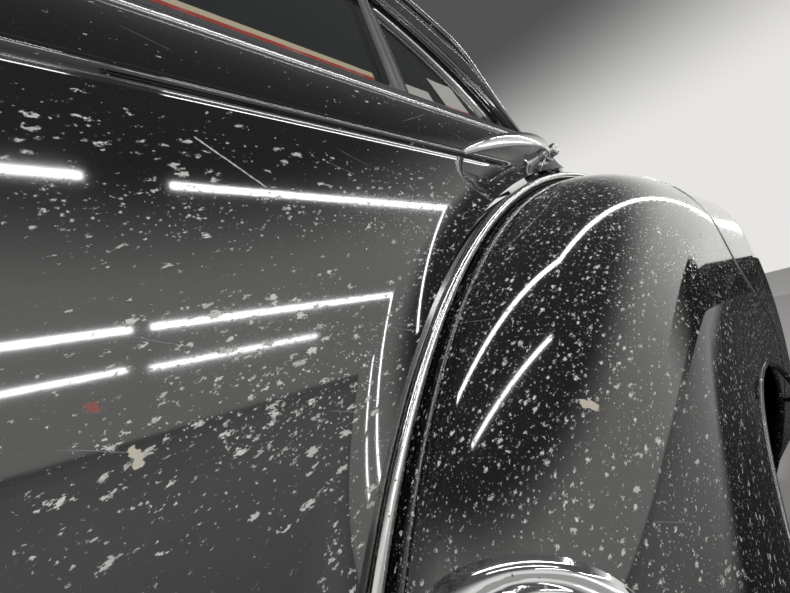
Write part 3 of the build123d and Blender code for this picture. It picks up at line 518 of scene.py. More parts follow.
# %% Materials: chrome and steel
def bright_metal(name, colour, rough, pits, brushed=0.0):
    """Metal with pits, a film of dust and, if brushed, fine lines along X."""
    made, tree, shader, place = new_material(name)
    spots = use(tree, PAINT_CHIPS, Place=place, Size=0.0022, Share=pits, Squeeze=1.0).outputs
    film = use(tree, DUST, Place=place, Amount=0.5, Grain=1500.0).outputs["Film"]
    squash = node(tree, "ShaderNodeMapping", Vector=place, Scale=(40.0, 900.0, 900.0)).outputs[0]
    grain = noise(tree, squash, 1.0, 3.0)
    level = maths(tree, "MULTIPLY_ADD", film, 0.12, rough)
    level = maths(tree, "MULTIPLY_ADD", spots["Mask"], 0.4, level)
    depth = maths(tree, "MULTIPLY_ADD", grain, 0.15 + brushed, spots["Height"])
    pitted = maths(tree, "MULTIPLY", spots["Mask"], 0.8)
    fill(shader, Base_Color=blend_colour(tree, pitted, colour, (0.10, 0.085, 0.07)),
         Roughness=maths(tree, "MULTIPLY_ADD", grain, 0.04 + 0.2 * brushed, level),
         Normal=bump(tree, depth, 0.00005), Metallic=1.0)
    return made


CHROME = bright_metal("chrome", (0.80, 0.80, 0.81), 0.05, 0.10)
BEAD_CHROME = bright_metal("chrome_bead", (0.74, 0.74, 0.74), 0.14, 0.28)
DULL_BAR = bright_metal("dull_bar", (0.74, 0.75, 0.72), 0.34, 0.3, 0.3)
STEEL = bright_metal("bare_steel", (0.46, 0.46, 0.45), 0.3, 0.3, 0.6)


# %% Materials: rubber, underseal, board, satin paint
def rough_surface(name, dark, pale, rough, grain, height, speck=0.4, sheen=0.0):
    """A matt surface: two tones mixed by noise, a bump of the same grain, and dust on top."""
    made, tree, shader, place = new_material(name)
    slow, fine = noise(tree, place, grain * 0.09, 6.0), noise(tree, place, grain, 4.0)
    specks = use(tree, DUST, Place=place, Amount=speck).outputs["Specks"]
    colour = blend_colour(tree, ramp(tree, slow, 0.3, 0.7), dark, pale)
    fill(shader, Base_Color=blend_colour(tree, specks, colour, (0.35, 0.34, 0.32)),
         Roughness=maths(tree, "MULTIPLY_ADD", fine, 0.2, rough - 0.1),
         Normal=bump(tree, fine, height), Sheen_Weight=sheen)
    return made


RUBBER = rough_surface("rubber", (0.012, 0.012, 0.012), (0.03, 0.03, 0.028), 0.62, 700.0, 0.0001)
UNDERSEAL = rough_surface("underseal", (0.010, 0.010, 0.010), (0.035, 0.032, 0.03), 0.8, 190.0,
                          0.0016, 0.6)
BOARD = rough_surface("trim_board", (0.36, 0.31, 0.24), (0.43, 0.375, 0.29), 0.72, 900.0,
                      0.0003, 0.2, 0.1)
KNOB = rough_surface("knob", (0.16, 0.13, 0.10), (0.22, 0.18, 0.13), 0.25, 300.0, 0.00004, 0.1)
SATIN = rough_surface("trim_paint", (0.30, 0.27, 0.22), (0.36, 0.33, 0.27), 0.36, 260.0,
                      0.00006, 0.2)


# %% Materials: glass and lens
def clear(name, tint, rough, dust, solid=0.0):
    """Glass or a clear lens. Dust lies on it as pale, dull specks."""
    made, tree, shader, place = new_material(name)
    dusty = use(tree, DUST, Place=place, Amount=dust, Grain=1300.0).outputs
    dulled = maths(tree, "MULTIPLY", dusty["Specks"], 0.6)
    fill(shader, Base_Color=blend_colour(tree, dulled, tint, (0.6, 0.6, 0.58)),
         Roughness=maths(tree, "MULTIPLY_ADD", dusty["Film"], 0.12, rough),
         Normal=bump(tree, noise(tree, place, 14.0, 1.0), 0.0006),
         Transmission_Weight=1.0 - solid, IOR=1.5)
    return made


GLASS = clear("window_glass", (0.19, 0.21, 0.20), 0.02, 0.5)
RED_LENS = clear("red_lens", (0.75, 0.02, 0.02), 0.06, 0.4, 0.25)


# %% Materials: film and card on the glass
def printed(name, ground, second, split):
    """Thin film or card: a ground colour with a second tone over one part, picked by height on a
    slow wave, faded in patches and dusty."""
    made, tree, shader, place = new_material(name)
    slow = noise(tree, place, 60.0, 5.0)
    edge = maths(tree, "MULTIPLY_ADD", slow, 0.0012, height_of(tree, place))
    colour = blend_colour(tree, ramp(tree, edge, split, split + 0.0008), second, ground)
    specks = use(tree, DUST, Place=place, Amount=0.5).outputs["Specks"]
    faded = maths(tree, "MULTIPLY", ramp(tree, slow, 0.45, 0.7), 0.25)
    colour = blend_colour(tree, faded, colour, (0.42, 0.40, 0.36))
    dulled = maths(tree, "MULTIPLY", specks, 0.6)
    fill(shader, Base_Color=blend_colour(tree, dulled, colour, (0.5, 0.5, 0.48)),
         Roughness=maths(tree, "MULTIPLY_ADD", slow, 0.2, 0.3), Normal=bump(tree, slow, 0.0002))
    return made


BAND_FILM = printed("band_film", (0.52, 0.44, 0.29), (0.36, 0.045, 0.03), 0.7985)
CARD_LOW = printed("card_pale", (0.48, 0.47, 0.43), (0.05, 0.05, 0.05), 0.7792)
CARD_HIGH = printed("card_red", (0.50, 0.49, 0.45), (0.33, 0.04, 0.04), 0.7945)
print("materials", len(bpy.data.materials))

# %% [markdown]
# ## The fender
#
# The fender is one profile carried along one path. In front the profile turns about the wheel
# centre, over the wheel it runs straight, and behind the seam it shrinks and falls on a long
# arc. Profile and path are both plain formulas, so the whole skin is one grid of points.

# %% Fender profile
SIDE_R, SIDE_DROP = 1.0, 147 * MM          # radius of the fender's long side arc, and its top
CORNER_OUT, CORNER_DROP = 78 * MM, 34 * MM     # where the round shoulder ends


def arc_points(centre, start, end, count):
    """Points on a circle about centre from start to end, the short way round."""
    a, b = (np.arctan2(*(np.asarray(p) - centre)[::-1]) for p in (start, end))
    turn = (b - a + np.pi) % (2 * np.pi) - np.pi
    radius = np.hypot(*(np.asarray(start) - centre))
    angle = a + turn * np.linspace(0, 1, count)
    return np.stack([centre[0] + radius * np.cos(angle), centre[1] + radius * np.sin(angle)], -1)


def tangent_centre(start, end, tangent):
    """Centre of the arc that leaves start along tangent and ends at end."""
    start, end, tangent = (np.asarray(v, float) for v in (start, end, tangent))
    normal = np.array([-tangent[1], tangent[0]]) / np.hypot(*tangent)
    chord = end - start
    return start + normal * (chord @ chord) / (2 * (chord @ normal))


def fender_profile(top, low, bulge, count=(60, 34, 30)):
    """Section (y, height) from the lower edge up and in: a long arc of 1 m radius, the round
    shoulder, and the arc that meets the body, each tangent to the one before."""
    out = PANEL_Y - FENDER_OUT * bulge
    side = np.array([out, top - SIDE_DROP])
    corner = np.array([PANEL_Y - CORNER_OUT * bulge, top - CORNER_DROP])
    foot = np.array([out + SIDE_R - np.sqrt(SIDE_R**2 - (side[1] - low) ** 2), low])
    lower = arc_points(np.array([out + SIDE_R, side[1]]), foot, side, count[0])
    centre = tangent_centre(side, corner, (0, 1))
    shoulder = arc_points(centre, side, corner, count[1])
    spoke = corner - centre
    inner = tangent_centre(corner, (PANEL_Y, top), (spoke[1], -spoke[0]))
    joint = arc_points(inner, corner, np.array([PANEL_Y, top]), count[2])
    return np.concatenate([lower[:-1], shoulder[:-1], joint])


def opening_z(x):
    """Height of the wheel opening's edge over the place x."""
    return WHEEL[1] + np.sqrt(np.maximum(OPENING_R**2 - (x - WHEEL[0]) ** 2, 0))


# %% Fender front panel
def turned_front(profile, count=150):
    """A (y, r) profile turned about the wheel centre from the floor line up to the top. The
    turn starts where the outermost circle meets the floor line, and each point waits there
    until the turn reaches its own circle's crossing."""
    y, r = profile.T
    swing = np.linspace(math.acos((FLOOR_Z - WHEEL[1]) / FENDER_R), 0, count)[:, None]
    swing = np.minimum(swing, np.arccos((FLOOR_Z - WHEEL[1]) / r))
    return np.stack([WHEEL[0] - r * np.sin(swing), np.broadcast_to(y, swing.shape),
                     WHEEL[1] + r * np.cos(swing)], -1)


def straight(xs):
    """The section at each x of the straight run, its lower edge following the wheel opening."""
    rows = [fender_profile(WHEEL[1] + FENDER_R, low, 1.0) for low in opening_z(xs)]
    return np.stack([np.column_stack([np.full(len(row), at), row]) for at, row in zip(xs, rows)])


front_profile = fender_profile(FENDER_R, OPENING_R, 1.0)
over = straight(np.linspace(WHEEL[0], SEAM_X, 50))
fender_front = surface("fender_front_skin", np.concatenate([turned_front(front_profile), over[1:]]),
                       wall=FENDER_WALL, stands_for=["fender_front"])
print("fender front", fender_front.dimensions[:])

# %% [markdown]
# The rear panel is bolted on at a seam. It shrinks as it runs back, and a smooth curve through
# the four known sections gives its fullness anywhere between them.

# %% Fender rear panel
SECTIONS_X, FULLNESS = (1.020, 1.180, 1.340, 1.500), (1.0, 0.94, 0.82, 0.62)
xs = np.linspace(SEAM_X, TAIL_X, 90)
bulges = np.polyval(np.polyfit(SECTIONS_X, FULLNESS, 3), xs)
tops = TAIL[1] + np.sqrt(TAIL_R**2 - (xs - TAIL[0]) ** 2)
lows = np.where(xs < WHEEL[0] + OPENING_R, opening_z(xs), FLOOR_Z)
sections = [fender_profile(top, low, bulge) for top, low, bulge in zip(tops, lows, bulges)]
rear = np.stack([np.column_stack([np.full(len(row), at), row]) for at, row in zip(xs, sections)])
# The end is closed by rings that shrink to the line of the body
ring = rear[-1]
body_line = np.column_stack([np.full(len(ring), TAIL_X), np.full(len(ring), PANEL_Y), ring[:, 2]])
cap = ring[None] + (body_line - ring)[None] * np.linspace(0, 1, 14)[1:, None, None]
fender_rear = surface("fender_rear_skin", np.concatenate([rear, cap]), wall=FENDER_WALL,
                      stands_for=["fender_rear"])
print("fender rear", fender_rear.dimensions[:])

# %% [markdown]
# ## The bright bead and the black welt
#
# A half round bead of bright metal covers the joint of fender and body, with a strip of black
# welt beside it. Both are small profiles carried along the fender's own path.

# %% Bead and welt along the fender's joint
def close_ends(points):
    """Shrinks a last ring at each end of a tube to its middle, so the tube is closed."""
    ends = (np.broadcast_to(p.mean(1, keepdims=True), p.shape) for p in (points[:1], points[-1:]))
    first, last = ends
    return np.concatenate([first, points, last])


def along_joint(profile, name, stands_for, counts=(150, 12, 60)):
    """Carries a closed (y, radius) profile round the front arc, straight over the wheel and down
    the tail's arc. A radius is measured from the wheel centre in front, and the same distance
    from the joint line everywhere else."""
    y, r = profile.T
    angle = np.linspace(math.acos((FLOOR_Z - WHEEL[1]) / FENDER_R), 0, counts[0])[:, None]
    line = np.linspace(WHEEL[0], SEAM_X, counts[1])[1:, None]
    fall = np.linspace(0, math.asin((TAIL_X - SEAM_X) / TAIL_R), counts[2])[1:, None]
    out = TAIL_R - FENDER_R + r
    x = [WHEEL[0] - r * np.sin(angle), line + 0 * r, TAIL[0] + out * np.sin(fall)]
    z = [WHEEL[1] + r * np.cos(angle), WHEEL[1] + r + 0 * line, TAIL[1] + out * np.cos(fall)]
    x, z = np.concatenate(x), np.concatenate(z)
    tube = np.stack([x, np.broadcast_to(y, x.shape), z], -1)
    return surface(name, close_ends(tube), wrap=True, stands_for=stands_for)


def half_tube(out, radius, start, count, foot):
    """A closed (y, radius) profile: a half circle that stands out from the body, over two foot
    points on the body's plane."""
    a = np.linspace(0, np.pi, count)
    dome = np.column_stack([PANEL_Y - out - radius * np.sin(a), start + radius * (1 - np.cos(a))])
    return np.concatenate([dome, [[PANEL_Y, r] for r in foot]])


WELT_OUT, WELT_HALF = 6.5 * MM, 1.5 * MM
bead_profile = half_tube(BEAD_CROWN - BEAD_W / 2, BEAD_W / 2, BEAD_R, 15,
                         (BEAD_R + BEAD_W, BEAD_R))
welt_profile = half_tube(WELT_OUT, WELT_HALF, FENDER_R, 7, (BEAD_R, FENDER_R))
bead = along_joint(bead_profile, "fender_bead_sweep", ["fender_bead"])
welt = along_joint(welt_profile, "fender_welt_sweep", ["fender_welt"])
print("bead and welt", len(bead.data.vertices), len(welt.data.vertices))

# %% [markdown]
# ## The bright moulding under the window
#
# A rolled stainless moulding covers the joint of door and glass. Its section is a broad half
# round, and a thin second lip runs below it across a dark gap. A profile is given as height and
# how far it stands off the skin, and it is carried along X. It shrinks to nothing at each end.

# %% Strips along the door
END_RUN = 6 * MM


def strip_along_x(name, x0, x1, profile, count=120, **kind):
    """Carries a (z, out) profile from x0 to x1 on the body side. out is measured outward from the
    skin, and falls to a fifth over the last 6 mm at each end."""
    x = np.linspace(x0, x1, count)[:, None]
    end = np.clip(np.minimum(x - x0, x1 - x) / END_RUN, 0, 1)
    fade = 0.2 + 0.8 * np.sqrt(1 - (1 - end) ** 2)
    z = np.broadcast_to(profile[:, 0], (count, len(profile)))
    grid = np.stack([np.broadcast_to(x, z.shape), side_y(z) - profile[:, 1] * fade, z], -1)
    return surface(name, close_ends(grid), wrap=True, **kind)


def half_round(z, half_tall, out, count=13, base=-1 * MM):
    """A (z, out) profile: a half ellipse over a flat base, from millimetres."""
    z, half_tall, out = z * MM, half_tall * MM, out * MM
    a = np.linspace(0, np.pi, count)
    dome = np.column_stack([z + half_tall * np.cos(a), base + (out - base) * np.sin(a) ** 0.8])
    return np.concatenate([dome, [[z - half_tall, base], [z + half_tall, base]]])


TRIM_X = DOOR_FRONT + 4 * MM
sill_trim = strip_along_x("sill_trim", TRIM_X, 711 * MM, half_round(754.5, 11.5, 6.2, 21),
                          body="door", stands_for=["sill_moulding"])
sill_lip = strip_along_x("sill_lip", TRIM_X, 708 * MM, half_round(736.5, 1.8, 2.8), body="door")
sill_gap = strip_along_x("sill_gap", TRIM_X, 709 * MM, half_round(740.6, 2.6, 1.1), body="door")
print("sill trim", [round(v, 3) for v in sill_trim.dimensions])

# %% [markdown]
# ## The window frame's pressed ridges
#
# The upper frame is one pressing. Its outer edge is a rolled bead, then come a channel and a
# smaller bead, and then the frame dips to the glass. The path has four runs: up the front, round
# a corner, along the top and round the big rear arc. Moving inward by t shortens each radius by t.

# %% Upper frame
def frame_path(t, count=(40, 14, 50, 120)):
    """Points (x, z) of the door's upper outline moved inward by t, from the front of the sill to
    its rear."""
    corner, top, low = 45 * MM, ROOF[1] + DOOR_TOP_R, 757 * MM
    rise = np.linspace(low, top - corner, count[0])[:, None] + 0 * t
    turn = np.linspace(np.pi, np.pi / 2, count[1])[1:, None]
    along = np.linspace(DOOR_FRONT + corner, ROOF[0], count[2])[1:, None] + 0 * t
    swing = np.linspace(np.pi / 2, math.asin((low - ROOF[1]) / DOOR_TOP_R), count[3])[1:, None]
    x = np.concatenate([
        DOOR_FRONT + t + 0 * rise, DOOR_FRONT + corner + (corner - t) * np.cos(turn), along,
        ROOF[0] + (DOOR_TOP_R - t) * np.cos(swing),
    ])
    z = np.concatenate([
        rise, top - corner + (corner - t) * np.sin(turn), top - t + 0 * along,
        ROOF[1] + (DOOR_TOP_R - t) * np.sin(swing),
    ])
    return x, z


def ridge(t, middle, half, high):
    """A half ellipse of height high about middle."""
    return high * np.sqrt(np.maximum(1 - ((t - middle) / half) ** 2, 0))


t = np.concatenate([np.linspace(0, 11, 17), np.linspace(11.3, 19, 8), np.linspace(19.2, 28, 15),
                    np.linspace(28.5, 33.5, 7)])
height = 0.6 + np.maximum(ridge(t, 5.5, 5.5, 4.2), ridge(t, 23.5, 4.5, 2.8))
x, z = frame_path(t * MM)
frame_face = np.stack([x, side_y(z) - height * MM, z], -1)
rim = frame_face[:, :1] + np.array([[[0, 20, 0], [0, 4, 0]]]) * MM
upper_frame = surface("upper_frame_skin", np.concatenate([rim, frame_face], 1), body="door")
print("upper frame", frame_face.shape)

# %% [markdown]
# ## The division bar and the vent window's trim
#
# A leaning bar parts the main glass from the small vent. It is a folded channel, so its face has
# two soft ridges with a groove between. The vent's own rim is a thin rounded tube round the pane.

# %% Division bar
BAR_FOOT, BAR_SLOPE = np.array([460.0, 775.0]) * MM, 54 / 242
BAR_HALF, RETURN = 10.5, 8 * MM        # half width in mm, and how far the edges turn inward


def bar_x(z):
    """X of the bar's middle line at height z."""
    return BAR_FOOT[0] + BAR_SLOPE * (z - BAR_FOOT[1])


z = np.linspace(764 * MM, 1027 * MM, 60)[:, None]
w = np.linspace(-BAR_HALF, BAR_HALF, 29)
folds = (ridge(w, -5.6, 4.6, 2.2) + ridge(w, 5.6, 4.6, 2.2)) * MM
edge = np.where(np.abs(w) > BAR_HALF - 0.2, -RETURN, 0)
x = bar_x(z) + w * MM
bar = np.stack([x, side_y(z) + 1.2 * MM - folds - edge, np.broadcast_to(z, x.shape)], -1)
bar_face = surface("division_bar_face", bar, body="door", flip=True)
print("division bar", bar.shape)


# %% Vent rim
def vent_outline(inset, corner=26 * MM, count=60):
    """Points (x, z) round the vent pane: up the bar, back down the arc, and along the sill."""
    radius, low = DOOR_TOP_R - FRAME_W - inset, 758 * MM + inset
    z0 = np.linspace(low, 1022 * MM - 1.8 * inset, count)
    x0 = bar_x(z0) + 11 * MM + inset
    top = math.atan2(z0[-1] - ROOF[1], x0[-1] - ROOF[0])
    angle = np.linspace(top, math.asin((low + corner - ROOF[1]) / radius), count)
    x1, z1 = ROOF[0] + radius * np.cos(angle), ROOF[1] + radius * np.sin(angle)
    turn = np.linspace(0, -np.pi / 2, 12)[1:]
    x2, z2 = x1[-1] - corner * (1 - np.cos(turn)), z1[-1] + corner * np.sin(turn)
    x3 = np.linspace(x2[-1], x0[0], 24)[1:-1]
    z3 = np.full(len(x3), low)
    return np.concatenate([x0, x1[1:], x2, x3]), np.concatenate([z0, z1[1:], z2, z3])


def unit(v):
    """v, or each row of v, at length 1."""
    return v / np.linalg.norm(v, axis=-1, keepdims=True)


def circle(count):
    """Cosine and sine of count even angles, shaped to spread over the second axis of a grid."""
    a = np.linspace(0, 2 * np.pi, count, endpoint=False)[None, :, None]
    return np.cos(a), np.sin(a)


def ring_tube(name, x, z, y, radius, body, around=10):
    """A closed tube of the given radius round the loop of points."""
    loop = np.stack([x, y, z], -1)
    ahead = unit(np.roll(loop, -1, 0) - np.roll(loop, 1, 0))
    side = unit(np.cross(ahead, [0, 1, 0]))
    c, s = circle(around)
    tube = loop[:, None] + radius * (c * side[:, None] + s * np.cross(side, ahead)[:, None])
    return surface(name, np.concatenate([tube, tube[:1]]), wrap=True, body=body, flip=True)


x, z = vent_outline(11 * MM)
vent_rim = ring_tube("vent_rim", x, z, side_y(z) + 8.5 * MM, 2.6 * MM, "door")
print("vent rim points", len(x))

# %% [markdown]
# ## The pull handle
#
# The handle is a chromed bow. A long blade leaves a small foot at the end of the belt bead, swings
# out, and comes back to a boss that holds the push button. The path is a smooth curve through a
# few points, and the section is a flattened ellipse that is widest in the middle of the blade.

# %% Smooth curve through points
def smooth_path(points, count):
    """A Catmull-Rom curve: each span is a cubic that passes through its two points, with the slope
    at a point set by its neighbours. The curve is sampled evenly by parameter."""
    points = np.asarray(points, float)
    padded = np.vstack([2 * points[0] - points[1], points, 2 * points[-1] - points[-2]])
    u = np.linspace(0, len(points) - 1, count)
    i = np.minimum(u.astype(int), len(points) - 2)
    f = (u - i)[:, None]
    a, b, c, d = (padded[i + k] for k in range(4))
    square, cube = 2 * a - 5 * b + 4 * c - d, 3 * b - a - 3 * c + d
    return 0.5 * (2 * b + (c - a) * f + square * f**2 + cube * f**3)


def squared(v, power):
    """v raised to a power, its sign kept. A power under 1 squares a circle up."""
    return np.sign(v) * np.abs(v) ** power


def sweep(name, path, wide, thick, across, power=1.0, around=28, **kind):
    """Carries an ellipse along a path. across is the direction of its wide half axis, thick is the
    half axis at right angles to it and to the path. A power under 1 squares the ellipse up."""
    ahead, across = unit(np.gradient(path, axis=0)), np.asarray(across, float)
    across = unit(across - ahead * (ahead @ across)[:, None])
    off = np.cross(ahead, across)
    c, s = (squared(v, power) for v in circle(around))
    wide, thick = (np.broadcast_to(v, len(path))[:, None, None] for v in (wide, thick))
    ring = path[:, None] + across[:, None] * wide * c + off[:, None] * thick * s
    return surface(name, close_ends(ring), wrap=True, **kind)


# %% Handle blade
RISE = math.radians(3)
FRONT = np.array([487.0, -80.0, 666.0]) * MM
# distance along the handle and out from the panel, in millimetres
BLADE_LINE = [(-6, -2), (1, 7), (14, 19), (34, 30.5), (60, 38), (88, 41), (114, 39), (134, 33),
              (147, 24), (149, 12), (148, 0)]


def handle_point(along, out):
    """A point of the handle: along its slope from the front foot, and out from the panel."""
    return FRONT + np.array([along * math.cos(RISE), -out, along * math.sin(RISE)]) * MM


blade_path = smooth_path([handle_point(*p) for p in BLADE_LINE], 140)
u = np.linspace(0, 1, 140)
wide = (3.4 + 5.6 * np.sin(np.pi * np.clip(u * 1.05, 0, 1)) ** 0.7) * MM
thick = (3.0 + 0.5 * np.cos(2 * np.pi * u)) * MM
blade = sweep("handle_blade", blade_path, wide, thick, (-math.sin(RISE), 0, math.cos(RISE)),
              0.85, 32, body="door", stands_for=["handle_grip"])
print("blade", [round(v, 3) for v in blade.dimensions])


# %% Turned parts: foot, boss and push button
def turned_part(name, centre, axis, profile, around=48, **kind):
    """Spins a (distance along the axis, radius) profile round an axis through centre. The profile
    is in millimetres."""
    axis = unit(np.asarray(axis, float))
    side = unit(np.cross(axis, (0.3, 0.2, 0.9)))
    c, s = circle(around)
    along, radius = (np.asarray(v, float)[:, None, None] * MM for v in zip(*profile))
    points = np.asarray(centre) + axis * along + radius * (c * side + s * np.cross(axis, side))
    return surface(name, points, wrap=True, **kind)


def lathe_profile(points, round_mm, steps=5):
    """Rounds each inner corner of an (along, radius) outline with a short quadratic curve."""
    points = np.asarray(points, float)
    out = [points[:1]]
    for before, at, after in zip(points[:-2], points[1:-1], points[2:]):
        reach = [min(round_mm, 0.45 * np.linalg.norm(q - at)) for q in (before, after)]
        p, q = (at + unit(v - at) * r for v, r in zip((before, after), reach))
        f = np.linspace(0, 1, steps)[:, None]
        out.append((1 - f) ** 2 * p + 2 * f * (1 - f) * at + f**2 * q)
    return np.concatenate(out + [points[-1:]])


# Outlines as (distance along the axis, radius), with the radius that rounds their corners
BOSS = lathe_profile([(-1.5, 0), (-1.5, 17), (1.5, 17), (4, 12.5), (18, 11), (27, 11.5),
                      (29, 9.2), (26, 8.6), (26, 0)], 1.6)
BUTTON = lathe_profile([(20, 0), (20, 8), (37.4, 8), (38.8, 6.8), (38.8, 5.6), (37.9, 5.0),
                        (37.9, 0)], 0.7)
FOOT = lathe_profile([(-1.5, 0), (-1.5, 5.5), (1, 5.5), (3, 4.5), (4.5, 2.5), (4.5, 0)], 1.0)
OUTWARD = (0, -1, 0)
boss_at = handle_point(148, 0)
boss = turned_part("handle_boss", boss_at, OUTWARD, BOSS, body="door")
button = turned_part("push_button", boss_at, OUTWARD, BUTTON, body="door",
                     stands_for=["handle_button"])
foot = turned_part("handle_foot", handle_point(-1, 0), OUTWARD, FOOT, body="door")
print("boss at", boss_at.round(4))

# %% [markdown]
# ## The quarter panel behind the door
#
# Behind the door the side turns inward round a vertical axis and then runs straight. For a place
# x the skin is first the door's own section, then the same section swung about the axis, then its
# straight run. Two grids cover the panel: a band along the roof's arc, and the part below it.

# %% Quarter panel skin
TURN_X, TURN_Y, TURN = 712 * MM, 100 * MM, math.radians(26)
QUARTER_R, QUARTER_GAP, QUARTER_Z = 525 * MM, 432 * MM, 673 * MM
SPLIT = math.radians(14)      # the two grids meet on the spoke of the roof's arc at this angle
TAIL_TOP = 0.8                # height of the lower grid's top at the seam


def quarter_y(x, z):
    """Y of the side behind the door: flat, then turning about the vertical line at TURN_X, then
    straight."""
    radius, past = TURN_Y - side_y(z), x - TURN_X
    reach = radius * math.sin(TURN)
    on_arc = TURN_Y - np.sqrt(np.maximum(radius**2 - np.clip(past, 0, reach) ** 2, 0))
    beyond = np.maximum(past - reach, 0) * math.tan(TURN)
    return np.where(past < 0, side_y(z), on_arc + beyond)


def quarter_skin(name, x, z):
    """A skin over (x, z), with one more column that returns inward along the first edge."""
    points = np.stack([x, quarter_y(x, z) - SKIN, z], -1)
    points = np.concatenate([points[:, :1] + [[[0, 9 * MM, 0]]], points], 1)
    return surface(name, points, flip=True)


angle = np.linspace(math.pi / 2, SPLIT, 150)[:, None]
radius = np.linspace(QUARTER_GAP, QUARTER_R, 26)[None]
quarter_band = quarter_skin("quarter_band_skin", ROOF[0] + radius * np.cos(angle),
                            ROOF[1] + radius * np.sin(angle))
u, v = np.linspace(0, 1, 90)[None], np.linspace(0, 1, 44)[:, None]
inner, corner = (ROOF + r * np.array([math.cos(SPLIT), math.sin(SPLIT)])
                 for r in (QUARTER_GAP, QUARTER_R))
z_left = QUARTER_Z + (inner[1] - QUARTER_Z) * v
x_left = ROOF[0] + np.sqrt(QUARTER_GAP**2 - np.maximum(z_left - ROOF[1], 0) ** 2)
x_top = inner[0] + (SEAM_X - inner[0]) * u
on_spoke = inner[1] + (x_top - inner[0]) * math.tan(SPLIT)
past_corner = (x_top - corner[0]) / (SEAM_X - corner[0])
z_top = np.where(x_top < corner[0], on_spoke, corner[1] + past_corner * (TAIL_TOP - corner[1]))
quarter_low = quarter_skin("quarter_low_skin", x_left + (SEAM_X - x_left) * u,
                           QUARTER_Z + (z_top - QUARTER_Z) * v)
print("quarter", len(quarter_band.data.vertices), len(quarter_low.data.vertices))

# %% [markdown]
# ## Drip moulding
#
# A narrow gutter catches the rain over the door. It runs along the roof rail and down the panel's
# rear edge. The section is a small hooked channel, carried along the line on the skin.

# %% Drip moulding
DRIP_R = QUARTER_R - 6 * MM
run = np.linspace(-341 * MM, ROOF[0], 60)
angle = np.radians(np.linspace(90, 16, 150))[1:]
x = np.concatenate([run, ROOF[0] + DRIP_R * np.cos(angle)])
z = np.concatenate([np.full(len(run), ROOF[1] + DRIP_R), ROOF[1] + DRIP_R * np.sin(angle)])
line = np.stack([x, quarter_y(x, z) - 2.5 * MM, z], -1)
drip = sweep("drip_rail", line, 4.2 * MM, 5.5 * MM, (0, 1, LEAN), 0.9, 24,
             stands_for=["drip_moulding"])
drip_lip = sweep("drip_lip", line + np.array([0, -5.0, 0]) * MM, 1.5 * MM, 1.8 * MM, (0, 1, LEAN),
                 1.0, 14)
print("drip rail", [round(v, 3) for v in drip.dimensions])

# %% [markdown]
# ## The stone guard
#
# A polished guard protects the fender's front from stones. It ends in a full round top with raised
# ridges that follow its edge, so its height over the paint depends only on the distance to that
# edge. The same distance, measured to the nearest side or to the round top, shapes the whole piece.

# %% Stone guard
GUARD_R, GUARD_HALF, GUARD_TOP = 573 * MM, 37.5 * MM, math.radians(33.6)
ROUND_FROM = GUARD_TOP - GUARD_HALF / GUARD_R        # the round top starts at this angle
GUARD_RIDGES = [(5, 1.6), (13, 1.6), (21, 1.4)]      # distance from the edge and height, in mm
across, rows = np.linspace(-1, 1, 61)[None], np.linspace(0, 1, 150)[:, None]
radius = GUARD_R + across * GUARD_HALF
top = GUARD_TOP - (GUARD_HALF / GUARD_R) * (1 - np.sqrt(1 - (0.999 * across) ** 2))
bottom = np.arcsin((FLOOR_Z + 1 * MM - WHEEL[1]) / radius)
angle = bottom + (top - bottom) * rows**0.8
to_side = GUARD_HALF * (1 - np.abs(across))
up = np.maximum(angle - ROUND_FROM, 0) * GUARD_R
to_top = np.maximum(GUARD_HALF - np.hypot(across * GUARD_HALF, up), 0)
edge = np.where(angle > ROUND_FROM, to_top, to_side) / MM
crown = 1.2 + 1.6 * np.sqrt(np.clip(edge / 9, 0, 1))
for middle, high in GUARD_RIDGES:
    crown = crown + ridge(edge, middle, 3, high)
crown = np.where(edge < 0.6, 0.2, crown) * MM
on_profile = np.interp(radius, front_profile[:, 1], front_profile[:, 0])
guard_points = np.stack([
    WHEEL[0] - (radius + 0.55 * crown) * np.cos(angle), on_profile - 0.8 * crown,
    WHEEL[1] + (radius + 0.55 * crown) * np.sin(angle),
], -1)
guard = surface("stone_guard_ridged", guard_points, stands_for=["stone_guard"], flip=True)
print("guard", guard_points.shape, "top at", round(float(guard_points[..., 2].max()), 3))

# %% [markdown]
# ## A band and two cards on the glass
#
# A thin film band runs along the foot of the main glass, and two paper cards sit in the vent
# pane. They are plain. A film has no visible thickness, so each is a sheet a hair off the glass.

# %% Films on the glass
GLASS_Y = 11.4 * MM        # just outside the glass, measured inward from the window plane


def glass_sheet(name, corners, bow=0.0):
    """A sheet over four (x, z) corners: bottom left, bottom right, top right, top left. bow is
    how far its two sides curl off the glass."""
    u, v = np.linspace(0, 1, 40)[None, :, None], np.linspace(0, 1, 12)[:, None, None]
    a, b, c, d = (np.array(p) * MM for p in corners)
    flat = (1 - v) * ((1 - u) * a + u * b) + v * ((1 - u) * d + u * c)
    x, z = flat[..., 0], flat[..., 1]
    curl = bow * (2 * np.abs(u[..., 0] - 0.5)) ** 4
    points = np.stack([x, side_y(z) + GLASS_Y - curl, z], -1)
    return surface(name, points, body="door", flip=True)


band_film = glass_sheet("glass_band", [(-160, 789), (441, 789), (443, 808), (-160, 808)])
card_low = glass_sheet("card_low", [(485, 777), (539, 777), (541, 812), (487, 812)], 0.4 * MM)
card_high = glass_sheet("card_high", [(567, 790), (619, 790), (615, 852), (563, 852)], 0.4 * MM)
print("films", band_film.name, card_low.name, card_high.name)

# %% [markdown]
# ## Tail lamp
#
# The lamp on the tail has a turned bezel and a domed glass with pressed rings. Both are profiles
# spun round the lamp's axis. The rings are ripples in the dome's profile.

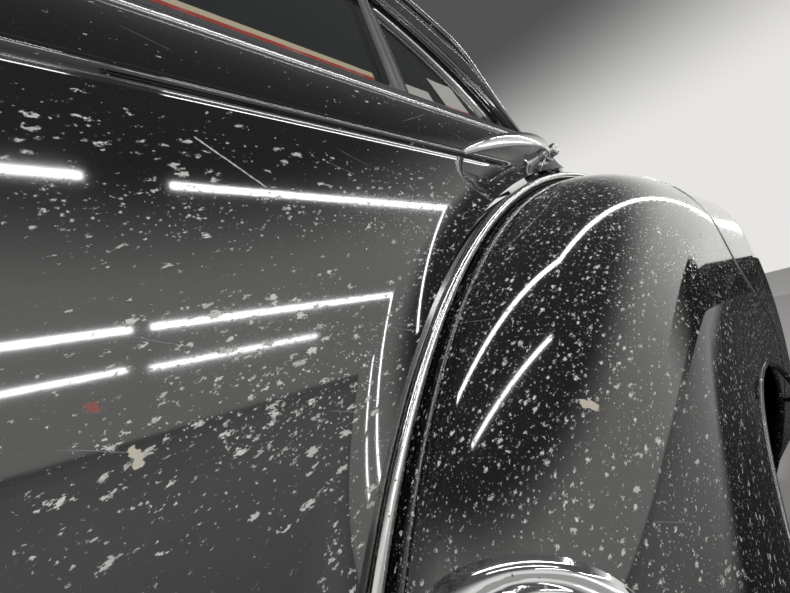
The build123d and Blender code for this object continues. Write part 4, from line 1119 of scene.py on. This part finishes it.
# %% Tail lamp
LAMP, BACKWARD = np.array([1500.0, -118.0, 330.0]) * MM, (1, 0, 0)
BEZEL = lathe_profile([(0, 27), (0, 34), (4, 34), (9, 32.5), (15, 29.5), (15.5, 28), (13, 27),
                       (0, 27)], 2.0)
bezel = turned_part("lamp_bezel_ring", LAMP, BACKWARD, BEZEL, 72, stands_for=["lamp_bezel"])
r = np.linspace(27.4, 0.01, 90)
ripple = 0.35 * (1 + np.cos(2 * np.pi * r / 4.2)) * (r < 25)
dome = 10 + 11.5 * np.sqrt(1 - (r / 27.5) ** 2) - ripple
lens = turned_part("lamp_lens_dome", LAMP, BACKWARD,
                   np.concatenate([[[2, 0.01], [2, 27.4]], np.column_stack([dome, r])]), 72,
                   stands_for=["lamp_lens"])
print("lamp", [round(v, 3) for v in lens.dimensions])

# %% [markdown]
# ## Screws and bolts
#
# Small fasteners tell how the parts are held. A screw is a low dome with a slot pressed into it,
# made as a grid in polar form whose height falls inside the slot. A bolt head is a six sided
# turned part: its radius follows the edge of a hexagon.

# %% Fasteners
def polar(name, at, axis, high, r, a, **kind):
    """A surface from the height along an axis, the radius and the angle of each of its points.
    at and all lengths are in millimetres."""
    axis = unit(np.asarray(axis, float))
    side = unit(np.cross(axis, (0, 0, 1) if abs(axis[2]) < 0.9 else (1, 0, 0)))
    high, out, along = (v[..., None] for v in (high, r * np.cos(a), r * np.sin(a)))
    points = np.asarray(at) + axis * high + side * out + np.cross(axis, side) * along
    return surface(name, points * MM, wrap=True, **kind)


DOME_R = [1, 1, 0.97, 0.9, 0.75, 0.6, 0.45, 0.3, 0.15, 0.001]          # shares of the radius
DOME_HIGH = [-0.6, 0.25, 0.5, 0.7, 0.88, 0.95, 0.98, 1, 1, 1]          # shares of the height


def screw(name, at, axis, radius, turn, body):
    """A domed head with a slot that is turned by turn."""
    a = np.linspace(0, 2 * np.pi, 40, endpoint=False)[None]
    r = radius * np.array(DOME_R)[:, None]
    high = 0.34 * radius * np.array(DOME_HIGH)[:, None] + 0 * a
    in_slot = (np.abs(r * np.sin(a - turn)) < 0.16 * radius) & (r < 0.95 * radius)
    return polar(name, at, axis, high - np.where(in_slot, 0.22 * radius, 0), r, a, body=body)


def bolt(name, at, axis=(0, 1, 0), flats=13.0, tall=7.0):
    """A hexagon head on a round washer face."""
    a = np.linspace(0, 2 * np.pi, 48, endpoint=False)[None]
    hexagon = 0.5 * flats / np.cos((a + np.pi / 6) % (np.pi / 3) - np.pi / 6)
    rows = [(-0.5, 0.75 * flats), (0.8, 0.75 * flats), (1.0, 0.7 * flats), (1.0, hexagon),
            (tall - 1.2, hexagon), (tall, 0.48 * flats), (tall, 0.001)]
    high = np.array([row[0] for row in rows])[:, None] + 0 * a
    return polar(name, at, axis, high, np.concatenate([row[1] + 0 * a for row in rows]), a)


# name, place, axis, radius, turn, body
SCREWS = [(f"scuff_screw_{i}", (x, 4 + 26 * (-1) ** i, 54.2), (0, 0, 1), 4.2, 0.7 * i, "body_side")
          for i, x in enumerate((-240, -150, -60, 30, 120))]
SCREWS += [(f"lamp_screw_{i}", (1510.5, -118 + 31 * math.cos(t), 330 + 31 * math.sin(t)),
            BACKWARD, 2.6, t, "body_side")
           for i, t in enumerate((math.pi / 2, -math.pi / 6, math.pi * 7 / 6))]
SCREWS += [(f"latch_screw_{i}", (715.6, -42 + dy, 698 + dz), BACKWARD, 2.8, dy, "door")
           for i, (dy, dz) in enumerate(((-8, -12), (8, -12), (0, 12)))]
screws = [screw(*row) for row in SCREWS]
# Bolts hold the fender to the side plate from inside: five on its front arc, three behind.
BOLT_Y, BOLT_R = -71.5, 588
BOLTS = [(800 - BOLT_R * math.sin(t), BOLT_Y, 43 + BOLT_R * math.cos(t))
         for t in np.radians((78, 60, 42, 24, 6))]
BOLTS += [(x, BOLT_Y, z) for x, z in ((900, 631), (1060, 628), (1220, 598))]
bolts = [bolt(f"fender_bolt_{i}", at) for i, at in enumerate(BOLTS)]
print("screws", len(screws), "bolts", len(bolts))

# %% [markdown]
# ## Seam and wheel opening
#
# A fine seam comes down over the wheel and then sweeps back beside the wheel opening. Round the
# opening the sheet is rolled over a wire, which stiffens its edge. Both are thin tubes carried
# along a line on the skin, so the line is worked out first and then looked up on the profile.

# %% Fender seam and rolled edge
def fender_outer_y(x, z):
    """Y of the fender's outer face at one place (x, z): the local section, read at the height z."""
    if x < SEAM_X:
        r = np.hypot(min(x - WHEEL[0], 0), z - WHEEL[1])
        return np.interp(r, front_profile[:, 1], front_profile[:, 0])
    top, bulge = (float(np.interp(x, xs, values)) for values in (tops, bulges))
    section = fender_profile(top, FLOOR_Z, bulge)
    return np.interp(z, section[:, 1], section[:, 0])


SEAM_TOP = [(0.792, 0.657), (0.789, 0.61), (0.786, 0.56), (0.792, 0.512), (0.818, 0.468),
            (0.862, 0.436)]
ARCH_R = 378 * MM          # the seam's lower run keeps this distance from the wheel centre
back = np.radians(np.linspace(70, -2, 12))
lower_run = WHEEL + ARCH_R * np.column_stack([np.cos(back), np.sin(back)])
seam_line = smooth_path(np.vstack([SEAM_TOP, lower_run]), 220)
seam_y = np.array([fender_outer_y(x, z) for x, z in seam_line])
seam_path = np.column_stack([seam_line[:, 0], seam_y - 0.1 * MM, seam_line[:, 1]])
seam_bead = sweep("fender_seam", seam_path, 1.3 * MM, 0.9 * MM, (1, 0, 0.3), 1.0, 10)
theta, edge_r = np.radians(np.linspace(-4.2, 184.2, 220)), OPENING_R + 1 * MM
x, z = WHEEL[0] - edge_r * np.cos(theta), WHEEL[1] + edge_r * np.sin(theta)
edge_y = np.array([fender_outer_y(a, b) for a, b in zip(x, z)])
edge_y[x < WHEEL[0]] = front_profile[0, 0]
edge_path = np.column_stack([x, edge_y + 2 * MM, z])
rolled_edge = sweep("opening_edge", edge_path, 4 * MM, 4 * MM, (0, 1, 0), 1.0, 16)
print("seam", [round(v, 3) for v in seam_bead.dimensions])
print("edge", [round(v, 3) for v in rolled_edge.dimensions])

# %% [markdown]
# ## Inside the door
#
# The card is board under vinyl, with sewn pleats and a pressed border. Pleats are a row of half
# sine waves, and each seam is the sharp valley between two of them. The height is faded out
# near the edge, where the card is pressed flat.

# %% Door card
CARD_Y, CARD_HEAD, CARD_FOOT, CARD_IN = -6 * MM, 729 * MM, 81 * MM, 18 * MM
CARD_FRONT, PLEAT = DOOR_FRONT + CARD_IN, 36 * MM
BAND_LOW, BAND_HIGH = 420 * MM, 690 * MM      # the pleats lie between these two heights


def card_rear_x(z):
    """X of the card's rear edge: 18 mm inside the door's own."""
    fender = WHEEL[0] - np.sqrt(np.maximum((DOOR_R + CARD_IN) ** 2 - (z - WHEEL[1]) ** 2, 0))
    roof = np.sqrt((DOOR_TOP_R - CARD_IN) ** 2 - np.maximum(z - ROOF[1], 0) ** 2)
    return np.minimum(fender, ROOF[0] + roof)


u, v = np.linspace(0, 1, 330)[None], np.linspace(0, 1, 150)[:, None]
z = CARD_FOOT + (CARD_HEAD - CARD_FOOT) * v + 0 * u
x = CARD_FRONT + (card_rear_x(z) - CARD_FRONT) * u
rim = np.minimum(np.minimum(x - CARD_FRONT, card_rear_x(z) - x),
                 np.minimum(z - CARD_FOOT, CARD_HEAD - z)) / MM
inside = np.clip((rim - 14) / 10, 0, 1)
pleated = (z > BAND_LOW) & (z < BAND_HIGH)
pleats = 3.4 * np.abs(np.sin(np.pi * x / PLEAT)) ** 0.6 * pleated
band_edge = ridge(z, BAND_LOW, 5 * MM, 3.0) + ridge(z, BAND_HIGH, 5 * MM, 3.0)
plain = 1.6 * np.clip((rim - 16) / 6, 0, 1)
relief = 0.5 + inside * np.maximum(np.maximum(pleats, band_edge), plain) + ridge(rim, 7, 5, 1.4)
card_skin = surface("door_card_skin", np.stack([x, CARD_Y + relief * MM, z], -1), body="door")
strips = []
for i, high in enumerate((BAND_LOW, BAND_HIGH)):
    along = np.linspace(-222 * MM, float(card_rear_x(high)) - 16 * MM, 80)
    line = np.column_stack([along, np.full(80, CARD_Y + 3.4 * MM), np.full(80, high)])
    strips.append(sweep(f"card_strip_{i}", line, 3.2 * MM, 1.6 * MM, (0, 0, 1), 0.9, 16,
                        body="door"))
print("card", x.shape)


# %% Armrest
def rounded_block(name, centre, half, power, rows=48, around=72, **kind):
    """A superellipsoid: a sphere whose sines and cosines are raised to a power under 1, which
    squares it up, then stretched to its half sizes. Sizes are in millimetres."""
    a = np.linspace(-np.pi / 2, np.pi / 2, rows)[:, None]
    b = np.linspace(0, 2 * np.pi, around, endpoint=False)[None]
    ends, waist = (squared(f(a), power[0]) for f in (np.sin, np.cos))
    round_y, round_z = (squared(f(b), power[1]) for f in (np.cos, np.sin))
    points = np.stack([ends + 0 * b, waist * round_y, waist * round_z], -1)
    points = points * np.array(half) + np.array(centre)
    return surface(name, points * MM, wrap=True, **kind)


armrest = rounded_block("armrest_shell", (60.4, 20, 370), (139, 25.8, 22.5), (0.35, 0.62),
                        body="door", stands_for=["armrest"], flip=True)
print("armrest", [round(v, 3) for v in armrest.dimensions])

# %% [markdown]
# ## Crank and lever
#
# The window crank and the door lever are chromed castings: a round boss, a slim arm that swells
# and bows away from the card, and a knob on the crank. Boss and knob are turned, the arm is swept.

# %% Crank and lever
CRANK, LEVER = np.array([215.4, -6, 500.0]) * MM, np.array([399.6, -6, 600.0]) * MM
CRANK_REACH, LEVER_REACH = 86, -88          # how far each arm reaches along X, in mm
INWARD = (0, 1, 0)


def arm(name, at, reach, stands_for):
    """An arm from the boss, bowed inboard by a half sine, wider in the middle."""
    s = np.linspace(0, 1, 60)
    path = at + np.column_stack([reach * s, 17 + 3.5 * np.sin(np.pi * s), 0 * s]) * MM
    tip = np.sqrt(np.clip((1 - s) / 0.06, 0.01, 1)) * MM
    return sweep(name, path, (7.6 - 2.6 * np.sin(np.pi * s * 0.8)) * tip, 3.2 * tip, (0, 0, 1),
                 0.9, 24, body="door", stands_for=stands_for)


COVER = lathe_profile([(0, 0), (0, 17.5), (4, 17.5), (7, 12), (13, 10.5), (19, 9.5), (21.5, 6),
                       (22, 0)], 1.6)
KNOB_SHAPE = lathe_profile([(17, 0), (17, 5), (22, 5.5), (27, 9.5), (40, 9.8), (46, 7),
                            (47.6, 3), (47.8, 0)], 2.0)
inner_trim = [
    turned_part("crank_boss", CRANK, INWARD, COVER, body="door"),
    turned_part("lever_boss", LEVER, INWARD, COVER, body="door"),
    arm("crank_arm", CRANK, CRANK_REACH, ["window_crank"]),
    arm("lever_arm", LEVER, LEVER_REACH, ["inner_lever"]),
]
knob = turned_part("crank_knob", CRANK + np.array([CRANK_REACH, 0, 0]) * MM, INWARD, KNOB_SHAPE,
                   body="door")
print("inner trim", len(inner_trim) + 1)

# %% [markdown]
# ## Door seal
#
# A hollow rubber strip on the body closes the gap behind the door. It follows the lock pillar's
# arc, so it is a tube turned about the wheel centre.

# %% Door seal
SEAL_R, SEAL_Y = 631 * MM, 14 * MM
a = np.radians(np.linspace(87, 6, 140))
seal_path = np.column_stack([WHEEL[0] - SEAL_R * np.sin(a), np.full(len(a), SEAL_Y),
                             WHEEL[1] + SEAL_R * np.cos(a)])
door_seal = sweep("door_seal", seal_path, 5 * MM, 4.2 * MM, (0, 1, 0), 0.9, 18)
print("seal from z", round(seal_path[0, 2], 3), "to", round(seal_path[-1, 2], 3))


# %% [markdown]
# ## Giving every solid its finish
#
# The same table that says which solid has which finish fills the material slots here, so nothing
# is left plain.

# %% Materials on the solids
FINISHES = {
    CALM_PAINT: [
        "door_shell", "sill", "centre_post", "roof_rail", "lock_pillar", "quarter_panel",
        "quarter_shelf", "rear_pillar", "drip_moulding", "fender_front", "fender_rear",
        "post_leaf_lower", "post_leaf_upper", "door_leaf_lower", "door_leaf_upper",
    ],
    CHROME: [
        "sill_moulding", "division_bar", "vent_frame", "window_crank", "inner_lever",
        "handle_grip", "handle_button", "lamp_bezel", "stone_guard",
    ],
    BEAD_CHROME: ["fender_bead", "scuff_plate"],
    STEEL: ["door_latch", "striker", "hinge_pin_lower", "hinge_pin_upper"],
    RUBBER: ["window_seal", "fender_welt"],
    GLASS: ["door_glass", "vent_glass"],
    SATIN: ["garnish_moulding"],
    BOARD: ["door_card", "armrest"],
    UNDERSEAL: ["side_plate", "wheelhouse"],
    RED_LENS: ["lamp_lens"],
}


def paint(piece, made):
    """The piece's only material becomes made."""
    piece.data.materials.clear()
    piece.data.materials.append(made)


for made, names in FINISHES.items():
    for name in names:
        paint(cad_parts[name], made)
missing = set(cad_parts) - {n for names in FINISHES.values() for n in names}
print("solids without a finish:", sorted(missing))

# %% Materials on the new pieces
DRESS = {
    DOOR_PAINT: ("black_paint", [door_skin]),
    CALM_PAINT: ("black_paint", [upper_frame, quarter_band, quarter_low, drip, rolled_edge]),
    DULL_BAR: ("chrome", [bar_face]),
    CHROME: ("chrome", [sill_trim, sill_lip, vent_rim, blade, boss, button, foot, guard, bezel,
                        drip_lip, *strips, *inner_trim]),
    STEEL: ("bare_steel", screws + bolts),
    BOARD: ("trim_board", [card_skin, armrest]),
    RED_LENS: ("red_lens", [lens]),
    BAND_FILM: ("trim_board", [band_film]),
    CARD_LOW: ("trim_board", [card_low]),
    CARD_HIGH: ("trim_board", [card_high]),
    FENDER_PAINT: ("black_paint", [fender_front, fender_rear]),
    BEAD_CHROME: ("chrome", [bead, seam_bead]),
    RUBBER: ("rubber", [welt, sill_gap, door_seal]),
    KNOB: ("trim_paint", [knob]),
}
for made, (slot, pieces) in DRESS.items():
    for piece in pieces:
        paint(piece, made)
print("dressed", sum(len(v[1]) for v in DRESS.values()), "pieces")

# %% [markdown]
# ## The floor, the room and the lamps
#
# Black gloss paint shows the room more than itself, so the lamps are part of the likeness. Long
# tubes stand where the photograph's reflections say. The world is pale near the horizon and
# darker overhead, as a hall is, for the camera and for mirrors. Other light from it is plain.

# %% Floor and world
def staged(name, corners):
    """A flat piece of the stage over its corners. It isn't part of the model."""
    mesh = bpy.data.meshes.new(name)
    mesh.from_pydata(corners, [], [tuple(range(len(corners)))])
    made = bpy.data.objects.new(name, mesh)
    bpy.context.scene.collection.objects.link(made)
    return made


floor = staged("floor", [(-12, -22, 0), (12, -22, 0), (12, 12, 0), (-12, 12, 0)])
made, tree, shader, place = new_material("pale_floor")
tone = noise(tree, place, 2.0, 5.0)
fill(shader, Base_Color=blend_colour(tree, tone, (0.50, 0.49, 0.47), (0.60, 0.59, 0.57)),
     Roughness=0.6)
paint(floor, made)

HORIZON, OVERHEAD, PLAIN_LIGHT = (0.80, 0.79, 0.76), (0.085, 0.085, 0.088), (0.42, 0.42, 0.43)
world = bpy.data.worlds.new("room")
bpy.context.scene.world = world
world.use_nodes = True
tree = world.node_tree
height = height_of(tree, tree.nodes.new("ShaderNodeTexCoord").outputs["Generated"])
grade = blend_colour(tree, ramp(tree, height, 0.30, 0.62), HORIZON, OVERHEAD)
ray = tree.nodes.new("ShaderNodeLightPath").outputs
mirrored = maths(tree, "MAXIMUM", ray["Is Glossy Ray"], ray["Is Transmission Ray"])
straight_on = maths(tree, "MAXIMUM", ray["Is Camera Ray"], mirrored)
fill(tree.nodes["Background"], Color=blend_colour(tree, straight_on, PLAIN_LIGHT, grade),
     Strength=1.0)
print("world", world.name, "floor", floor.name)

# %% [markdown]
# Two rows of long tubes hang to the left of the car, and more rows follow far behind them. A
# lamp's power is its area times pi times the brightness that its surface should show.

# %% Lamps
def strip_lamp(name, long, wide, radiance, place, turn):
    """A strip lamp that shows in mirrors but not to the camera. Its power follows from its area
    and radiance."""
    lamp = bpy.data.lights.new(name, "AREA")
    lamp.shape = "RECTANGLE"
    lamp.size, lamp.size_y = long, wide
    lamp.energy = radiance * math.pi * long * wide
    made = bpy.data.objects.new(name, lamp)
    made.location, made.rotation_euler = place, turn
    made.visible_camera = False
    bpy.context.scene.collection.objects.link(made)
    return made


def tube(name, x0, x1, y, z, wide, radiance=16.0):
    """A strip lamp along X that faces the car."""
    return strip_lamp(name, x1 - x0, wide, radiance, ((x0 + x1) / 2, y, z),
                      (math.atan2(-y, z - 0.5), 0, 0))


def cross_tube(name, start, end, z=2.5, wide=0.07):
    """A strip lamp on the ceiling from start to end, facing down."""
    start, end = np.array(start), np.array(end)
    return strip_lamp(name, np.hypot(*(end - start)), wide, 16.0, (*(start + end) / 2, z),
                      (0, 0, math.atan2(*(end - start)[::-1])))


# From x0 to x1, at y and z, and how wide
TUBES = [
    (-1.6, 0.10, -2.70, 2.50, 0.060), (0.64, 6.5, -2.74, 2.50, 0.060),
    (-3.0, 0.40, -7.9, 2.50, 0.13), (0.70, 9.0, -7.9, 2.50, 0.13),
    (-4.0, 0.30, -13.4, 2.50, 0.16), (0.90, 7.0, -14.0, 2.50, 0.16),
]
# Three more tubes cross overhead, for the fender alone: (x, y) of both ends
CROSS_TUBES = [
    ((-2.3, 0.90), (1.25, -1.00)), ((1.25, -1.00), (11.0, -1.46)), ((-1.5, -0.55), (0.45, -1.68)),
]
rows = [tube(f"tube_{i}", *row) for i, row in enumerate(TUBES)]
crossing = [cross_tube(f"cross_tube_{i}", *ends) for i, ends in enumerate(CROSS_TUBES)]
print("tubes", len(rows), "crossing", len(crossing))

# %% [markdown]
# Which lamp lights which piece can be chosen in Blender: a lamp's light linking names a
# collection of receivers. The long rows light everything but the fender, and the crossing tubes
# light only the fender and its bead, so each shape mirrors the lines that the real one does.

# %% Light linking
only_fender = bpy.data.collections.new("lit_by_cross_tubes")
not_fender = bpy.data.collections.new("lit_by_rows")
for piece in (fender_front, fender_rear, guard, bead, welt, seam_bead, rolled_edge):
    only_fender.objects.link(piece)
for piece in (fender_front, fender_rear, seam_bead):
    not_fender.objects.link(piece)
for entry in not_fender.collection_objects:
    entry.light_linking.link_state = "EXCLUDE"
for lamps, receivers in ((rows, not_fender), (crossing, only_fender)):
    for lamp in lamps:
        lamp.light_linking.receiver_collection = receivers

# %% [markdown]
# Dark things shape gloss paint as much as lamps do. Behind the car stands something dark, and
# the floor beside the car lies in its own shade. Two dark cards take their place, and only
# mirrors see them: the upright one stands for the dark thing, and the one on the floor is a
# painted shadow of the car. One more strip stands on end above the dark part, and it carries the
# fender's upper line to the rear. The last two lamps fill the car's side and its inside with soft
# light.

# %% Shade cards, the strip on end and the soft lamps
def shade_card(name, corners, along, fade):
    """A dark card seen only in reflections. It fades in along a direction, between the two values
    of fade, so its edge is soft in the paint."""
    card = staged(name, corners)
    card.visible_camera = card.visible_diffuse = False
    card.visible_shadow = card.visible_transmission = False
    made, tree, shader, place = new_material(name)
    reach = vector(tree, "DOT_PRODUCT", place, along)
    fill(shader, Base_Color=(0.02, 0.02, 0.02, 1), Roughness=0.9, Alpha=ramp(tree, reach, *fade))
    paint(card, made)
    return card


END_X = 5.5                        # the dark end stands this far back, across the car
END_OUTLINE = [
    (-7.0, 0.004), (1.0, 0.004), (1.0, 0.38), (-0.7, 0.45), (-0.85, 0.5), (-1.34, 0.62),
    (-1.76, 1.05), (-7.0, 1.2),
]
SHADE_X, SHADE_Y, SHADE_Z = 0.2, (-1.2, 0.9), 0.003       # the shade runs from here to END_X
SHADE = [(SHADE_X, SHADE_Y[0]), (END_X, SHADE_Y[0]), (END_X, SHADE_Y[1]), (SHADE_X, SHADE_Y[1])]
shade_card("dark_end", [(END_X, y, z) for y, z in END_OUTLINE], (0, 1, 0), (-5.6, -2.2))
# A painted shadow: a dark card that stands for the car's own shade on the floor beside it, seen
# only in mirrors.
shade_card("painted_floor_shadow", [(x, y, SHADE_Z) for x, y in SHADE], (0.055, 1, 0), (-0.66, -0.40))
streak = cross_tube("cross_tube_end", (0, 0), (0.95, 0), 1.12, 0.05)
streak.location = (END_X - 0.05, -0.66, 1.12)
streak.rotation_euler = Matrix(((0, 0, 1), (0.41, 0.91, 0), (-0.91, 0.41, 0))).to_euler()
streak.light_linking.receiver_collection = only_fender
key = tube("key", -0.9, 0.9, -2.2, 3.4, 1.6, 2.6)
key.visible_glossy = False
tube("rear_key", 0.2, 2.2, 2.6, 2.6, 1.4, 2.2)

# %% Finish
bpy.context.scene.view_settings.view_transform = "Standard"
